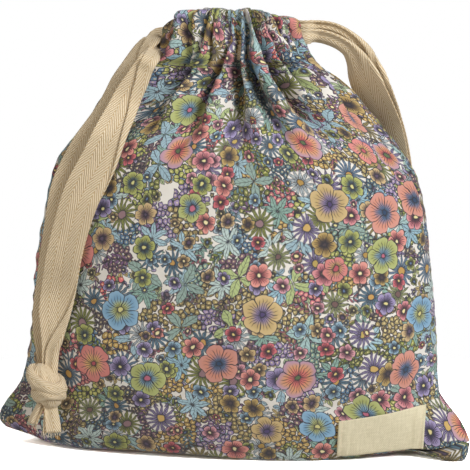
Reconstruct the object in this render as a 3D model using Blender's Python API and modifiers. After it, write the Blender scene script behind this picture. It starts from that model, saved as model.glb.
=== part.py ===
"""Drawstring pouch of printed cotton, filled out and standing on its folded base, its mouth drawn up.

Metres, +Z up. The origin is the middle of the flat base.
The front faces -Y and the side seams are at -X and +X.
Pieces: the body cloth with its casing, two drawstring tapes with a knot each, and a sewn-on label.
"""

import math

import bmesh
import bpy
import numpy as np
from mathutils import Vector

# The filled body
BODY_HEIGHT = 0.191  # base to the row of stitches under the casing
BELLY_WIDTH = 0.200  # side seam to side seam, at the widest
BELLY_DEPTH = 0.092  # front to back, at the widest
BELLY_HEIGHT = 0.070  # level of the greatest depth
BASE_DEPTH = 0.058  # front to back of the flat base
CLOTH = 0.0012  # wall of the cloth

# The gusset, folded at the base: at each lower corner an upper and a lower fold with a notch between
FOLD_HEIGHT = 0.008  # level of the upper fold
UPPER_REACH = 0.0175  # how far the upper fold stands out past the side
LOWER_REACH = 0.0145 # how far the lower fold does
NOTCH_REACH = 0.002  # and the bottom of the notch
CORNER_RISE = 0.024  # height over which the upper fold runs out into the side
CORNER_LIFT = 0.007  # the left corner curls up off the ground

# The gathers that run down from the casing
GATHERS = 16  # folds around the mouth
GATHER_HEIGHT = 0.0050  # crest over valley at the stitches
GATHER_START = 0.115  # level where the gathers begin
SHOULDER_TURN = 5.2  # how late the width turns in to the neck
DEPTH_TURN = 4.4  # and the depth

# The tape
TAPE_WIDTH = 0.020
TAPE_THICKNESS = 0.0010
TAPE_PLAY = 0.0007  # room on each side of a tape in the casing
TAPE_SPACE = 0.0010  # room above, between and below the two tapes there
RING_WIDTH = 0.058  # across the ring that both tapes make in the drawn mouth
RING_DEPTH = 0.029

# The casing
CASING_FOOT = 0.0034  # from the stitches up to the tunnel's floor
CASING_ROOF = 0.0021  # from the tunnel's roof to the folded top edge
CASING_FLARE = 0.0070  # how much wider the casing's outside is at the stitches than at its top
SLIT_WIDTH = 0.0125  # each side seam stays open along the casing

# The label
LABEL_WIDTH = 0.044
LABEL_HEIGHT = 0.020
LABEL_THICKNESS = 0.0006
LABEL_X = 0.0745  # its middle
LABEL_Z = 0.0150
LABEL_TURN = math.radians(4)

SEAT = 0.0003  # gap between pieces that touch
AROUND = 80  # points around the cloth

# Sizes that follow
FOLDED_WIDTH = TAPE_WIDTH / 2 - 0.0002  # in the casing a tape is folded along its middle
FOLDED_THICKNESS = 2 * TAPE_THICKNESS + 0.0001
CASE_OFFSET = FOLDED_THICKNESS / 2 + TAPE_PLAY + CLOTH
TUNNEL_FLOOR = BODY_HEIGHT + CASING_FOOT
TUNNEL_ROOF = TUNNEL_FLOOR + 2 * FOLDED_WIDTH + 3 * TAPE_SPACE
TOP = TUNNEL_ROOF + CASING_ROOF
LEFT_LEVEL = TUNNEL_FLOOR + TAPE_SPACE + FOLDED_WIDTH / 2
RIGHT_LEVEL = LEFT_LEVEL + FOLDED_WIDTH + TAPE_SPACE
CASING_LEVELS = [TUNNEL_FLOOR + (TUNNEL_ROOF - TUNNEL_FLOOR) * share for share in (0.3, 0.65)]
NECK_WIDTH = RING_WIDTH + 2 * CASE_OFFSET + GATHER_HEIGHT + 2 * CASING_FLARE
NECK_DEPTH = RING_DEPTH + 2 * CASE_OFFSET + GATHER_HEIGHT + CASING_FLARE


def smooth(value):
    value = min(max(value, 0.0), 1.0)
    return value * value * (3 - 2 * value)


# Profile of the body
def body_half_width(z):
    rise = min(max(z / BODY_HEIGHT, 0), 1)
    return NECK_WIDTH / 2 + (BELLY_WIDTH - NECK_WIDTH) / 2 * (1 - rise**SHOULDER_TURN)


def body_half_depth(z):
    rise = min(max(z / BODY_HEIGHT, 0), 1)
    upper = NECK_DEPTH / 2 + (BELLY_DEPTH - NECK_DEPTH) / 2 * (1 - rise**DEPTH_TURN)
    under = max(1 - z / BELLY_HEIGHT, 0)
    return upper - (BELLY_DEPTH - BASE_DEPTH) / 2 * under**2.5


def corner_reach(z):
    notch = FOLD_HEIGHT / 2
    if z <= notch:
        return LOWER_REACH + (NOTCH_REACH - LOWER_REACH) * z / notch
    if z <= FOLD_HEIGHT:
        return NOTCH_REACH + (UPPER_REACH - NOTCH_REACH) * (z - notch) / (FOLD_HEIGHT - notch)
    return UPPER_REACH * max(1 - (z - FOLD_HEIGHT) / CORNER_RISE, 0) ** 1.4


def sharpness(z):
    """1 gives an outline with pointed ends, as at the base, and 0.5 an oval."""
    return 1 - 0.5 * smooth((z - FOLD_HEIGHT) / (BELLY_HEIGHT - 2 * FOLD_HEIGHT))


def gather_amplitude(z):
    return GATHER_HEIGHT / 2 * smooth((z - GATHER_START) / (BODY_HEIGHT - GATHER_START)) ** 1.3


def front_depth(x, z):
    """How far the front stands before the seam plane at this place, crests of the gathers included."""
    half = body_half_width(z) + corner_reach(z)
    share = max(1 - (x / half) ** 2, 0)
    reach = body_half_depth(z) * share ** sharpness(z)
    return reach + gather_amplitude(z) if share > 0 else 0.0


def corner_lift(x, z):
    side = BELLY_WIDTH / 2
    return CORNER_LIFT * smooth((-x - 0.86 * side) / (0.3 * side)) * max(1 - z / 0.05, 0)


# Outlines around the bag, one for each level
def outline(half_width, half_depth, sharp):
    """Evenly spaced points from the left seam by the front to the right seam and round the back."""
    turn = np.linspace(0, math.pi, 401)
    x = -half_width * np.cos(turn)
    y = -half_depth * np.clip(1 - (x / half_width) ** 2, 0, 1) ** sharp
    run = np.concatenate([[0], np.cumsum(np.hypot(np.diff(x), np.diff(y)))])
    even = np.linspace(0, run[-1], AROUND // 2 + 1)
    front = np.stack([np.interp(even, run, x), np.interp(even, run, y)], 1)
    back = front[-2:0:-1] * (1, -1)
    return np.concatenate([front, back])


def outward(points):
    along = np.roll(points, -1, 0) - np.roll(points, 1, 0)
    along /= np.linalg.norm(along, axis=1)[:, None]
    return np.stack([along[:, 1], -along[:, 0]], 1)


def crest():
    """0 in the valleys of the gathers and about 1 on their crests. The side seams are in valleys."""
    place = np.arange(AROUND) / AROUND
    wave = 0.5 - 0.5 * np.cos(2 * math.pi * GATHERS * place)
    return wave * (0.82 + 0.18 * np.cos(6 * math.pi * place + 1.0))


def level_ring(points, z):
    return [Vector((x, y, z + corner_lift(x, z))) for x, y in points]


def outside_ring(z):
    half_width = body_half_width(z) + corner_reach(z)
    points = outline(half_width, body_half_depth(z), sharpness(z))
    wave = gather_amplitude(z) * (2 * crest() - 1)
    return level_ring(points + outward(points) * wave[:, None], z)


def inside_ring(z):
    corner = 0.004 * (1 - smooth(z / BELLY_HEIGHT))
    half_width = body_half_width(z) - CLOTH - corner
    points = outline(half_width, body_half_depth(z) - CLOTH, sharpness(z))
    wave = gather_amplitude(z) * (2 * crest() - 1)
    return level_ring(points + outward(points) * wave[:, None], z)


def casing_ring(z, offset, wave_height, flare=0.0):
    """A ring about the tapes' own ring, set out by offset and by wave_height more on the crests.
    flare widens it, by half as much at the front and back as at the sides."""
    points = outline(RING_WIDTH / 2, RING_DEPTH / 2, 0.5)
    away = offset + wave_height * crest()
    widened = points + outward(points) * away[:, None] + points / (RING_WIDTH / 2, RING_DEPTH) * flare
    return [Vector((x, y, z)) for x, y in widened]


def casing_wave(z):
    """Height of the gathers on the casing's outside, lower towards the top edge."""
    return GATHER_HEIGHT * (1 - 0.3 * (z - BODY_HEIGHT) / (TOP - BODY_HEIGHT))


def casing_flare(z):
    return CASING_FLARE * (1 - smooth((z - BODY_HEIGHT) / (TUNNEL_ROOF - BODY_HEIGHT))) ** 1.5


# Helpers that make objects
def new_collection(name):
    collection = bpy.data.collections.new(name)
    bpy.context.scene.collection.children.link(collection)
    return collection


def new_material(name, colour, roughness):
    material = bpy.data.materials.new(name)
    material.use_nodes = True
    shader = material.node_tree.nodes["Principled BSDF"]
    shader.inputs["Base Color"].default_value = (*colour, 1)
    shader.inputs["Roughness"].default_value = roughness
    shader.inputs["Metallic"].default_value = 0.0
    return material


def object_from(mesh, name, collection, material=None):
    bm = bmesh.new()
    bm.from_mesh(mesh)
    bmesh.ops.recalc_face_normals(bm, faces=bm.faces)
    bm.to_mesh(mesh)
    bm.free()
    thing = bpy.data.objects.new(name, mesh)
    collection.objects.link(thing)
    if material:
        mesh.materials.append(material)
    return thing


def to_collection(thing, collection):
    for old in thing.users_collection:
        old.objects.unlink(thing)
    collection.objects.link(thing)


def as_cutter(thing):
    thing.hide_render = True
    thing.display_type = "WIRE"


def combine(thing, other, operation):
    modifier = thing.modifiers.new(other.name, "BOOLEAN")
    modifier.object = other
    modifier.operation = operation
    modifier.solver = "EXACT"


def loft(name, rings, closed):
    """Skins rings of equal count. closed joins the last ring to the first, or else each end gets a lid."""
    bm = bmesh.new()
    rows = [[bm.verts.new(point) for point in ring] for ring in rings]
    count = len(rows[0])
    pairs = list(zip(rows, rows[1:]))
    if closed:
        pairs.append((rows[-1], rows[0]))
    for lower, upper in pairs:
        for i in range(count):
            j = (i + 1) % count
            bm.faces.new((lower[i], lower[j], upper[j], upper[i]))
    if not closed:
        bm.faces.new(rows[0])
        bm.faces.new(rows[-1])
    mesh = bpy.data.meshes.new(name)
    bm.to_mesh(mesh)
    bm.free()
    return mesh


def bag_mesh(name, rings):
    """Skins the rings from the base's outside, over the top and down inside.
    Strips from the front to the back close both base outlines."""
    bm = bmesh.new()
    rows = [[bm.verts.new(point) for point in ring] for ring in rings]
    for lower, upper in zip(rows, rows[1:]):
        for i in range(AROUND):
            j = (i + 1) % AROUND
            bm.faces.new((lower[i], lower[j], upper[j], upper[i]))
    for row in (rows[0], rows[-1]):
        half = AROUND // 2
        bm.faces.new((row[0], row[1], row[-1]))
        bm.faces.new((row[half - 1], row[half], row[half + 1]))
        for i in range(1, half - 1):
            bm.faces.new((row[i], row[i + 1], row[AROUND - i - 1], row[AROUND - i]))
    mesh = bpy.data.meshes.new(name)
    bm.to_mesh(mesh)
    bm.free()
    return mesh


# Start from an empty scene
for old in list(bpy.data.objects):
    bpy.data.objects.remove(old, do_unlink=True)

pouch = new_collection("kinchaku_pouch")
cutters = new_collection("cutters")
cotton_print = new_material("printed_cotton", (0.42, 0.41, 0.37), 0.85)
tape_cotton = new_material("herringbone_tape", (0.74, 0.65, 0.49), 0.9)
label_cotton = new_material("label_cotton", (0.66, 0.60, 0.45), 0.9)

# Body cloth: the outside from the base to the stitches, the casing, and the inside back down to the base
steps = np.linspace(0, 1, 16)[1:]
shares = steps - 0.12 * np.sin(2 * math.pi * steps)
levels = [FOLD_HEIGHT + (BODY_HEIGHT - FOLD_HEIGHT) * share for share in shares]
rings = [outside_ring(z) for z in (0.0, FOLD_HEIGHT / 2, FOLD_HEIGHT, *levels[:-1])]
hem_wave = 0.55 * GATHER_HEIGHT
for z in (BODY_HEIGHT, TUNNEL_FLOOR, *CASING_LEVELS, TUNNEL_ROOF):
    rings.append(casing_ring(z, CASE_OFFSET, casing_wave(z), casing_flare(z)))
rings.append(casing_ring(TOP, 0.35 * CASE_OFFSET, casing_wave(TOP)))
rings.append(casing_ring(TOP, -0.35 * CASE_OFFSET, -hem_wave))
rings.append(casing_ring(TUNNEL_ROOF, -CASE_OFFSET, -hem_wave))
rings.append(casing_ring(TUNNEL_FLOOR - CLOTH / 2, -CASE_OFFSET, -hem_wave))
rings.append(casing_ring(BODY_HEIGHT - CLOTH, CASE_OFFSET - 2 * CLOTH, GATHER_HEIGHT, CASING_FLARE))
rings += [inside_ring(z) for z in reversed([1.25 * CLOTH, FOLD_HEIGHT, *levels[2:-1]])]
body = object_from(bag_mesh("pouch_body", rings), "pouch_body", pouch, cotton_print)

# Both side seams are open along the casing, where the tapes come out: one bar across cuts both slits
foot = TUNNEL_FLOOR - TAPE_SPACE
head = TOP + CLOTH
bpy.ops.mesh.primitive_cube_add(size=1, location=(0, 0, (foot + head) / 2))
slits = bpy.context.object
slits.name = "slits"
slits.scale = (RING_WIDTH + 8 * CASE_OFFSET + 2 * CASING_FLARE, SLIT_WIDTH, head - foot)
to_collection(slits, cutters)
as_cutter(slits)
combine(body, slits, "DIFFERENCE")

# The tunnel of the casing, which both tapes run in
tunnel_rings = []
for z in (TUNNEL_FLOOR, *CASING_LEVELS, TUNNEL_ROOF):
    tunnel_rings.append(casing_ring(z, CASE_OFFSET - CLOTH, casing_wave(z), casing_flare(z)))
for z in (TUNNEL_ROOF, TUNNEL_FLOOR):
    tunnel_rings.append(casing_ring(z, CLOTH - CASE_OFFSET, -hem_wave))
tunnel = object_from(loft("tunnel", tunnel_rings, True), "tunnel", cutters)
as_cutter(tunnel)
combine(body, tunnel, "DIFFERENCE")


# Tapes: each goes once round the ring in the casing, and both its ends come out at one side
def tape_row(place, facing, opened):
    """One place on a tape's route. opened is 0 where it is folded lengthwise and 1 where it lies flat."""
    width = FOLDED_WIDTH + (TAPE_WIDTH - FOLDED_WIDTH) * opened
    thickness = FOLDED_THICKNESS + (TAPE_THICKNESS - FOLDED_THICKNESS) * opened
    return np.array([*place, *facing, width, thickness])


def through(rows, spacing):
    """A smooth curve through the rows, as new rows about spacing apart."""
    rows = [2 * rows[0] - rows[1], *rows, 2 * rows[-1] - rows[-2]]
    found = []
    for before, start, end, after in zip(rows, rows[1:], rows[2:], rows[3:]):
        count = max(1, round(float(np.linalg.norm(end[:3] - start[:3])) / spacing))
        for k in range(count):
            t = k / count
            bend = 2 * before - 5 * start + 4 * end - after
            twist = 3 * start - before - 3 * end + after
            found.append(0.5 * (2 * start + (end - before) * t + bend * t**2 + twist * t**3))
    return [*found, rows[-2]]


def tape_mesh(name, rows):
    """Sweeps the tape's flat section along the rows, its face turned to the row's facing."""
    rings = []
    for i, row in enumerate(rows):
        ahead = rows[min(i + 1, len(rows) - 1)][:3] - rows[max(i - 1, 0)][:3]
        along = Vector(ahead).normalized()
        across = along.cross(Vector(row[3:6])).normalized()
        face = across.cross(along)
        place = Vector(row[:3])
        half_width = across * row[6] / 2
        half_thickness = face * row[7] / 2
        corners = (
            half_width + half_thickness,
            half_thickness - half_width,
            -half_width - half_thickness,
            half_width - half_thickness,
        )
        rings.append([place + corner for corner in corners])
    return loft(name, rings, False)


def ring_rows(side, level):
    """The part of the route that lies in the casing, from the front exit round to the back exit."""
    rows = []
    for turn in np.radians(np.linspace(25, 335, 32)):
        place = (side * RING_WIDTH / 2 * math.cos(turn), -RING_DEPTH / 2 * math.sin(turn), level)
        inward = (-side * math.cos(turn) / RING_WIDTH, math.sin(turn) / RING_DEPTH, 0)
        size = math.hypot(inward[0], inward[1])
        facing = (inward[0] / size, inward[1] / size, 0)
        rows.append(tape_row(place, facing, 0))
    return rows


def exit_rows(side, level, front):
    """The places in the slit where a strand turns from the ring to the outside."""
    facing = (0, 1, 0) if front else (0, -1, 0)
    sign = -1 if front else 1
    near = (FOLDED_THICKNESS / 2 + 2 * SEAT) * sign
    reach = RING_WIDTH / 2
    return [
        tape_row((side * (reach + 0.0006), 2.0 * near, level), facing, 0),
        tape_row((side * (reach + 0.0045), 1.15 * near, level), facing, 0),
        tape_row((side * (reach + 0.0085), near, level), facing, 0),
    ]


def strand_rows(points, side, face, clear, front):
    """The hanging stretch of a strand, laid on the bag's front (face -1) or back (face 1).
    Each point is x, z and how far the tape has opened. The tape leans with the bag's side, and its depth
    clears the bag over its whole width."""
    flat = through([tape_row((x, 0, z), (0, 1, 0), opened) for x, z, opened in points], 0.006)
    depths, facings = [], []
    for i, row in enumerate(flat):
        along = Vector(flat[min(i + 1, len(flat) - 1)][:3] - flat[max(i - 1, 0)][:3]).normalized()
        inner = Vector((along.z, 0, -along.x))
        if inner.x * side > 0:
            inner.negate()
        width = row[6]
        lean = STRAND_LEAN * (width - FOLDED_WIDTH) / (TAPE_WIDTH - FOLDED_WIDTH)
        depth = 0.0
        for share in (-0.5, -0.25, 0, 0.25, 0.5):
            place = inner * (share * width * math.cos(lean))
            bag = front_depth(row[0] + place.x, row[2] + place.z)
            depth = max(depth, bag - share * width * math.sin(lean))
        depths.append(depth)
        across = inner * math.cos(lean) + Vector((0, face * math.sin(lean), 0))
        facing = across.cross(along)
        if (facing.y > 0) != front:
            facing.negate()
        facings.append(facing)
    for _ in range(2):  # the tape bridges small hollows
        ahead, behind = [*depths[1:], depths[-1]], [depths[0], *depths[:-1]]
        depths = [max(here, (a + b) / 2) for here, a, b in zip(depths, ahead, behind)]
    for row, depth, facing in zip(flat, depths, facings):
        row[1] = face * (depth + clear)
        row[3:6] = facing
    return flat


def knot_objects(name, place, tails):
    """The tight knot that joins both strands: a lump with one slanting turn of tape, and two tails."""
    bpy.ops.mesh.primitive_uv_sphere_add(segments=16, ring_count=10, radius=1, location=place)
    lump = bpy.context.object
    lump.scale = (0.0085, 0.0062, 0.0100)
    bpy.ops.mesh.primitive_torus_add(
        major_segments=20,
        minor_segments=8,
        major_radius=0.0062,
        minor_radius=0.0036,
        location=place,
        rotation=(math.radians(18), math.radians(24), 0),
    )
    band = bpy.context.object
    band.scale = (1.0, 0.72, 1.35)
    made = [lump, band]
    lump.name = name + "_lump"
    band.name = name + "_turn"
    for thing in made:
        to_collection(thing, cutters)
    for k, (x, y, z) in enumerate(tails):
        start = Vector(place)
        end = Vector((x, y, z))
        rows = [
            tape_row(start, (0, -1, 0), 0),
            tape_row(start.lerp(end, 0.55), (0, -1, 0), 0.1),
            tape_row(end, (0, -1, 0), 0.35),
        ]
        mesh = tape_mesh(f"{name}_tail_{k}", through(rows, 0.006))
        made.append(object_from(mesh, f"{name}_tail_{k}", cutters))
    for thing in made:
        as_cutter(thing)
    return made


STRAND_CLEAR = 2 * SEAT + TAPE_THICKNESS / 2  # from the cloth to the middle of the strand on it
STRAND_STEP = FOLDED_THICKNESS + 2 * SEAT  # from one strand to the one that lies over it
STRAND_LEAN = math.radians(18)  # turn of an open tape towards the bag's side

# Left tape: both strands come down over the left shoulder and the knot hangs before the left side
left_over = [
    (-0.0480, 0.2000, 0.10),
    (-0.0500, 0.1920, 0.20),
    (-0.0508, 0.1855, 0.32),
    (-0.0528, 0.1790, 0.45),
    (-0.0548, 0.1720, 0.58),
    (-0.0615, 0.1535, 0.85),
    (-0.0712, 0.1320, 1.00),
    (-0.0787, 0.1110, 1.00),
    (-0.0838, 0.0900, 0.98),
    (-0.0872, 0.0730, 0.80),
    (-0.0912, 0.0540, 0.30),
]
left_under = [
    (-0.0470, 0.2000, 0.05),
    (-0.0535, 0.1925, 0.15),
    (-0.0575, 0.1850, 0.25),
    (-0.0605, 0.1770, 0.40),
    (-0.0668, 0.1575, 0.70),
    (-0.0742, 0.1360, 1.00),
    (-0.0805, 0.1130, 1.00),
    (-0.0848, 0.0900, 1.00),
    (-0.0878, 0.0730, 0.80),
    (-0.0915, 0.0540, 0.30),
]
over = strand_rows(left_over, -1, -1, STRAND_CLEAR + STRAND_STEP, True)
under = strand_rows(left_under, -1, -1, STRAND_CLEAR, False)
knot_y = over[-1][1] - 0.0005
left_knot = (-0.0925, knot_y, 0.0350)
route = [tape_row((-0.0925, over[-1][1], 0.0370), (0, 1, 0), 0), *reversed(over)]
route += [*reversed(exit_rows(-1, LEFT_LEVEL, True)), *ring_rows(-1, LEFT_LEVEL)]
route += [*exit_rows(-1, LEFT_LEVEL, False), *under]
route.append(tape_row((-0.0925, under[-1][1], 0.0370), (0, -1, 0), 0))
left_mesh = tape_mesh("drawstring_left", through(route, 0.005))
left = object_from(left_mesh, "drawstring_left", pouch, tape_cotton)
left_tails = [(-0.0915, knot_y - 0.0035, 0.0120), (-0.0990, knot_y + 0.0010, 0.0135)]
for piece in knot_objects("left_knot", left_knot, left_tails):
    combine(left, piece, "UNION")

# Right tape: both strands arch out from the mouth, drop behind the right shoulder and hang at the back
right_over = [
    (0.0450, 0.2085, 0.10),
    (0.0550, 0.2050, 0.15),
    (0.0625, 0.1975, 0.45),
    (0.0680, 0.1860, 0.85),
    (0.0715, 0.1730, 1.00),
    (0.0760, 0.1560, 1.00),
    (0.0785, 0.1380, 1.00),
    (0.0815, 0.1170, 1.00),
    (0.0840, 0.0930, 1.00),
    (0.0855, 0.0730, 0.75),
    (0.0865, 0.0540, 0.30),
]
right_under = [
    (0.0450, 0.2070, 0.10),
    (0.0540, 0.2035, 0.15),
    (0.0610, 0.1960, 0.45),
    (0.0670, 0.1850, 0.85),
    (0.0710, 0.1720, 1.00),
    (0.0755, 0.1550, 1.00),
    (0.0775, 0.1370, 1.00),
    (0.0800, 0.1160, 1.00),
    (0.0825, 0.0930, 1.00),
    (0.0845, 0.0730, 0.75),
    (0.0865, 0.0540, 0.30),
]
over = strand_rows(right_over, 1, 1, STRAND_CLEAR + STRAND_STEP, False)
under = strand_rows(right_under, 1, 1, STRAND_CLEAR, True)
knot_y = over[-1][1] + 0.0005
right_knot = (0.0870, knot_y, 0.0350)
route = [tape_row((0.0870, under[-1][1], 0.0370), (0, 1, 0), 0), *reversed(under)]
route += [*reversed(exit_rows(1, RIGHT_LEVEL, True)), *ring_rows(1, RIGHT_LEVEL)]
route += [*exit_rows(1, RIGHT_LEVEL, False), *over]
route.append(tape_row((0.0870, over[-1][1], 0.0370), (0, -1, 0), 0))
right_mesh = tape_mesh("drawstring_right", through(route, 0.005))
right = object_from(right_mesh, "drawstring_right", pouch, tape_cotton)
right_tails = [(0.0865, knot_y + 0.0035, 0.0120), (0.0940, knot_y - 0.0010, 0.0135)]
for piece in knot_objects("right_knot", right_knot, right_tails):
    combine(right, piece, "UNION")

# Label: a flat grid laid on the front, thickened away from the cloth
bpy.ops.mesh.primitive_grid_add(x_subdivisions=12, y_subdivisions=5, size=1)
label = bpy.context.object
label.name = "label"
to_collection(label, pouch)
label.data.materials.append(label_cotton)
for vertex in label.data.vertices:
    across = vertex.co.x * LABEL_WIDTH
    up = vertex.co.y * LABEL_HEIGHT
    x = LABEL_X + (across * math.cos(LABEL_TURN) - up * math.sin(LABEL_TURN)) * 0.93
    z = LABEL_Z + across * math.sin(LABEL_TURN) + up * math.cos(LABEL_TURN)
    seat = 4 * SEAT
    vertex.co = (x, -front_depth(x, max(z, FOLD_HEIGHT)) - seat, z)
thicken = label.modifiers.new("thickness", "SOLIDIFY")
thicken.thickness = LABEL_THICKNESS
thicken.offset = 1
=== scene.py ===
"""Looks of a printed cotton drawstring pouch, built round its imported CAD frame.

Metres, +Z up, front facing -Y, side seams at -X and +X.
"""

import math

import bpy
import numpy as np
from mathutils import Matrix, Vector
from mathutils.bvhtree import BVHTree


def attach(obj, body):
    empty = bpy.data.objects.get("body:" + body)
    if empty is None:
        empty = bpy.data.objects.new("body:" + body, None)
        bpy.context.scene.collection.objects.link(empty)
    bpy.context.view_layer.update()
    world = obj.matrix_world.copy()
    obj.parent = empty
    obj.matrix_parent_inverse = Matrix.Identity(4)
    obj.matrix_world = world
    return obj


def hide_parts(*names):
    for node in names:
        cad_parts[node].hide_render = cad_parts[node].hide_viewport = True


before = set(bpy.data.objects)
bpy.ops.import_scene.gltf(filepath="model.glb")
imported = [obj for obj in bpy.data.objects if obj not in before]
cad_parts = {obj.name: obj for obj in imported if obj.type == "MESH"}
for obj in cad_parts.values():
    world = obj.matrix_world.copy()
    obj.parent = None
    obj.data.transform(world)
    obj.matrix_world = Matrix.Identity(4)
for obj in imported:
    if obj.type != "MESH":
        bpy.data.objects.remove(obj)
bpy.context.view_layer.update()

for loaded in bpy.context.selected_objects:
    loaded.select_set(False)


# Camera: a long lens a little above the pouch and a little to the right of its middle
bpy.ops.object.camera_add(location=(0.0803, -0.9059, 0.2508))
camera = bpy.context.object
camera.name = "camera"
aim = Vector((0.0025, -0.020, 0.110))
camera.rotation_euler = (aim - camera.location).to_track_quat("-Z", "Y").to_euler()
camera.data.sensor_width = 36
camera.data.lens = 142
camera.data.clip_end = 20
bpy.context.scene.camera = camera


# Body cloth: one length of printed cotton, folded at the base, sewn together at both sides and hemmed to a
# casing. It is laid out flat here as a grid, front hem first and back hem last, and each row is then put on
# its place of the drawn-up pouch. The map of the grid stays in flat metres, so the print follows the cloth.
CLOTH_WIDTH = 0.236  # seam to seam
BODY_HEIGHT = 0.191  # base to the row of stitches
BELLY_WIDTH = 0.200
BELLY_DEPTH = 0.092
BELLY_HEIGHT = 0.070
BASE_DEPTH = 0.062
NECK_WIDTH = 0.0829
NECK_DEPTH = 0.0469
TUNNEL_FLOOR = 0.1944
TUNNEL_ROOF = 0.2170
TOP = 0.2191
RING = (0.029, 0.0145)  # half sizes of the ring that the tapes make in the casing
THREADS_ACROSS = 144  # columns of the grid
CLOTH_THICKNESS = 0.0005
STITCH_LEVEL = 0.1926
CASING_STITCHES = 70  # on each side


def smooth(value):
    value = np.clip(value, 0.0, 1.0)
    return value * value * (3 - 2 * value)


def half_width(z):
    rise = np.clip(z / BODY_HEIGHT, 0, 1)
    return NECK_WIDTH / 2 + (BELLY_WIDTH - NECK_WIDTH) / 2 * (1 - rise**5.2)


def half_depth(z):
    rise = np.clip(z / BODY_HEIGHT, 0, 1)
    upper = NECK_DEPTH / 2 + (BELLY_DEPTH - NECK_DEPTH) / 2 * (1 - rise**4.4)
    return upper - (BELLY_DEPTH - BASE_DEPTH) / 2 * max(1 - z / BELLY_HEIGHT, 0) ** 2.5


def corner_reach(z, right):
    """How far the folded gusset stands out at a lower corner: a rounded ear on the left, and on the right
    one that is split in two lips, where the notch between them is pushed in afterwards."""
    if right:
        levels = (0.0, 0.0025, 0.0050, 0.0100, 0.0145, 0.0175, 0.0205, 0.0237, 0.0265, 0.0300, 0.0400,
            0.0600, 0.0750, 0.0950, 0.1080, 0.1300, 0.1380, 0.1460, 0.1600, 0.1717, 0.1820, 0.1880, 0.1910)
        reaches = (0.0155, 0.0172, 0.0177, 0.0178, 0.0158, 0.0140, 0.0118, 0.0088, 0.0060, 0.0030, 0.0018,
            0.0010, 0.0, -0.0013, -0.0010, 0.0, 0.0, -0.0014, -0.0044, -0.0048, -0.0028, -0.0022, -0.0022)
    else:
        levels = (0.0, 0.0025, 0.0047, 0.0081, 0.0116, 0.0180, 0.0234, 0.0287, 0.0338, 0.0440, 0.0540,
            0.0700, 0.0850, 0.1050, 0.1250, 0.1450, 0.1520, 0.1585, 0.1630, 0.1680, 0.1730, 0.1790)
        reaches = (0.0165, 0.0190, 0.0198, 0.0198, 0.0190, 0.0153, 0.0114, 0.0083, 0.0067, 0.0046, 0.0028,
            0.0013, 0.0010, 0.0, -0.0011, -0.0002, -0.0012, -0.0034, -0.0034, -0.0022, -0.0007, 0.0003)
    return float(np.interp(z, levels, reaches))


def sharpness(z):
    return 0.86 - 0.36 * float(smooth((z - 0.008) / 0.054))


# Gathers: each valley's depth, width and lean, the height where it runs out, and its course down the cloth
# as (height, share of the way from the left seam to the right seam)
FRONT_FOLDS = (
    (0.80, 0.9, 0.4, 0.160, ((0.219, 0.105), (0.200, 0.100), (0.190, 0.085), (0.160, 0.050))),
    (1.45, 1.4, 0.8, 0.146, ((0.219, 0.208), (0.206, 0.220), (0.197, 0.216), (0.186, 0.196),
     (0.146, 0.135))),
    (1.15, 1.0, 0.8, 0.150, ((0.219, 0.345), (0.208, 0.322), (0.199, 0.295), (0.188, 0.270),
     (0.150, 0.240))),
    (0.60, 0.6, 0.4, 0.182, ((0.219, 0.398), (0.196, 0.372), (0.182, 0.335))),
    (1.30, 1.2, 0.35, 0.136, ((0.219, 0.448), (0.204, 0.454), (0.196, 0.430), (0.186, 0.394),
     (0.136, 0.350))),
    (0.50, 0.5, 0.3, 0.194, ((0.219, 0.490), (0.194, 0.486))),
    (1.50, 1.4, 0.3, 0.132, ((0.219, 0.538), (0.205, 0.530), (0.197, 0.510), (0.189, 0.492), (0.174, 0.512),
     (0.132, 0.516))),
    (1.20, 1.0, 0.2, 0.140, ((0.219, 0.604), (0.208, 0.604), (0.200, 0.580), (0.190, 0.580), (0.175, 0.618),
     (0.140, 0.660))),
    (1.40, 1.0, -0.35, 0.146, ((0.219, 0.652), (0.213, 0.672), (0.199, 0.715), (0.184, 0.738),
     (0.146, 0.790))),
    (0.65, 0.6, -0.4, 0.172, ((0.219, 0.722), (0.205, 0.772), (0.190, 0.800), (0.172, 0.830))),
    (0.55, 0.6, -0.3, 0.184, ((0.219, 0.795), (0.205, 0.850), (0.184, 0.880))),
    (0.85, 1.1, -0.3, 0.122, ((0.219, 0.880), (0.208, 0.935), (0.190, 0.950), (0.170, 0.930),
     (0.122, 0.915))),
)
BACK_FOLDS = (
    (0.75, 0.9, -0.4, 0.150, ((0.219, 0.120), (0.206, 0.080), (0.188, 0.060), (0.150, 0.045))),
    (1.10, 1.0, 0.4, 0.138, ((0.219, 0.190), (0.200, 0.200), (0.188, 0.180), (0.138, 0.130))),
    (0.60, 0.7, 0.4, 0.172, ((0.219, 0.262), (0.196, 0.270), (0.172, 0.245))),
    (1.20, 1.1, 0.35, 0.126, ((0.219, 0.342), (0.204, 0.350), (0.188, 0.330), (0.126, 0.285))),
    (1.00, 0.9, 0.2, 0.150, ((0.219, 0.428), (0.200, 0.420), (0.186, 0.428), (0.150, 0.405))),
    (1.25, 1.1, -0.25, 0.122, ((0.219, 0.500), (0.204, 0.510), (0.190, 0.498), (0.122, 0.515))),
    (0.60, 0.7, -0.4, 0.176, ((0.219, 0.560), (0.198, 0.574), (0.176, 0.585))),
    (1.15, 1.0, -0.35, 0.136, ((0.219, 0.640), (0.202, 0.640), (0.188, 0.662), (0.136, 0.705))),
    (1.05, 1.0, -0.4, 0.146, ((0.219, 0.728), (0.200, 0.742), (0.186, 0.762), (0.146, 0.815))),
    (0.85, 1.0, -0.5, 0.140, ((0.219, 0.830), (0.204, 0.850), (0.186, 0.880), (0.140, 0.915))),
)


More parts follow.
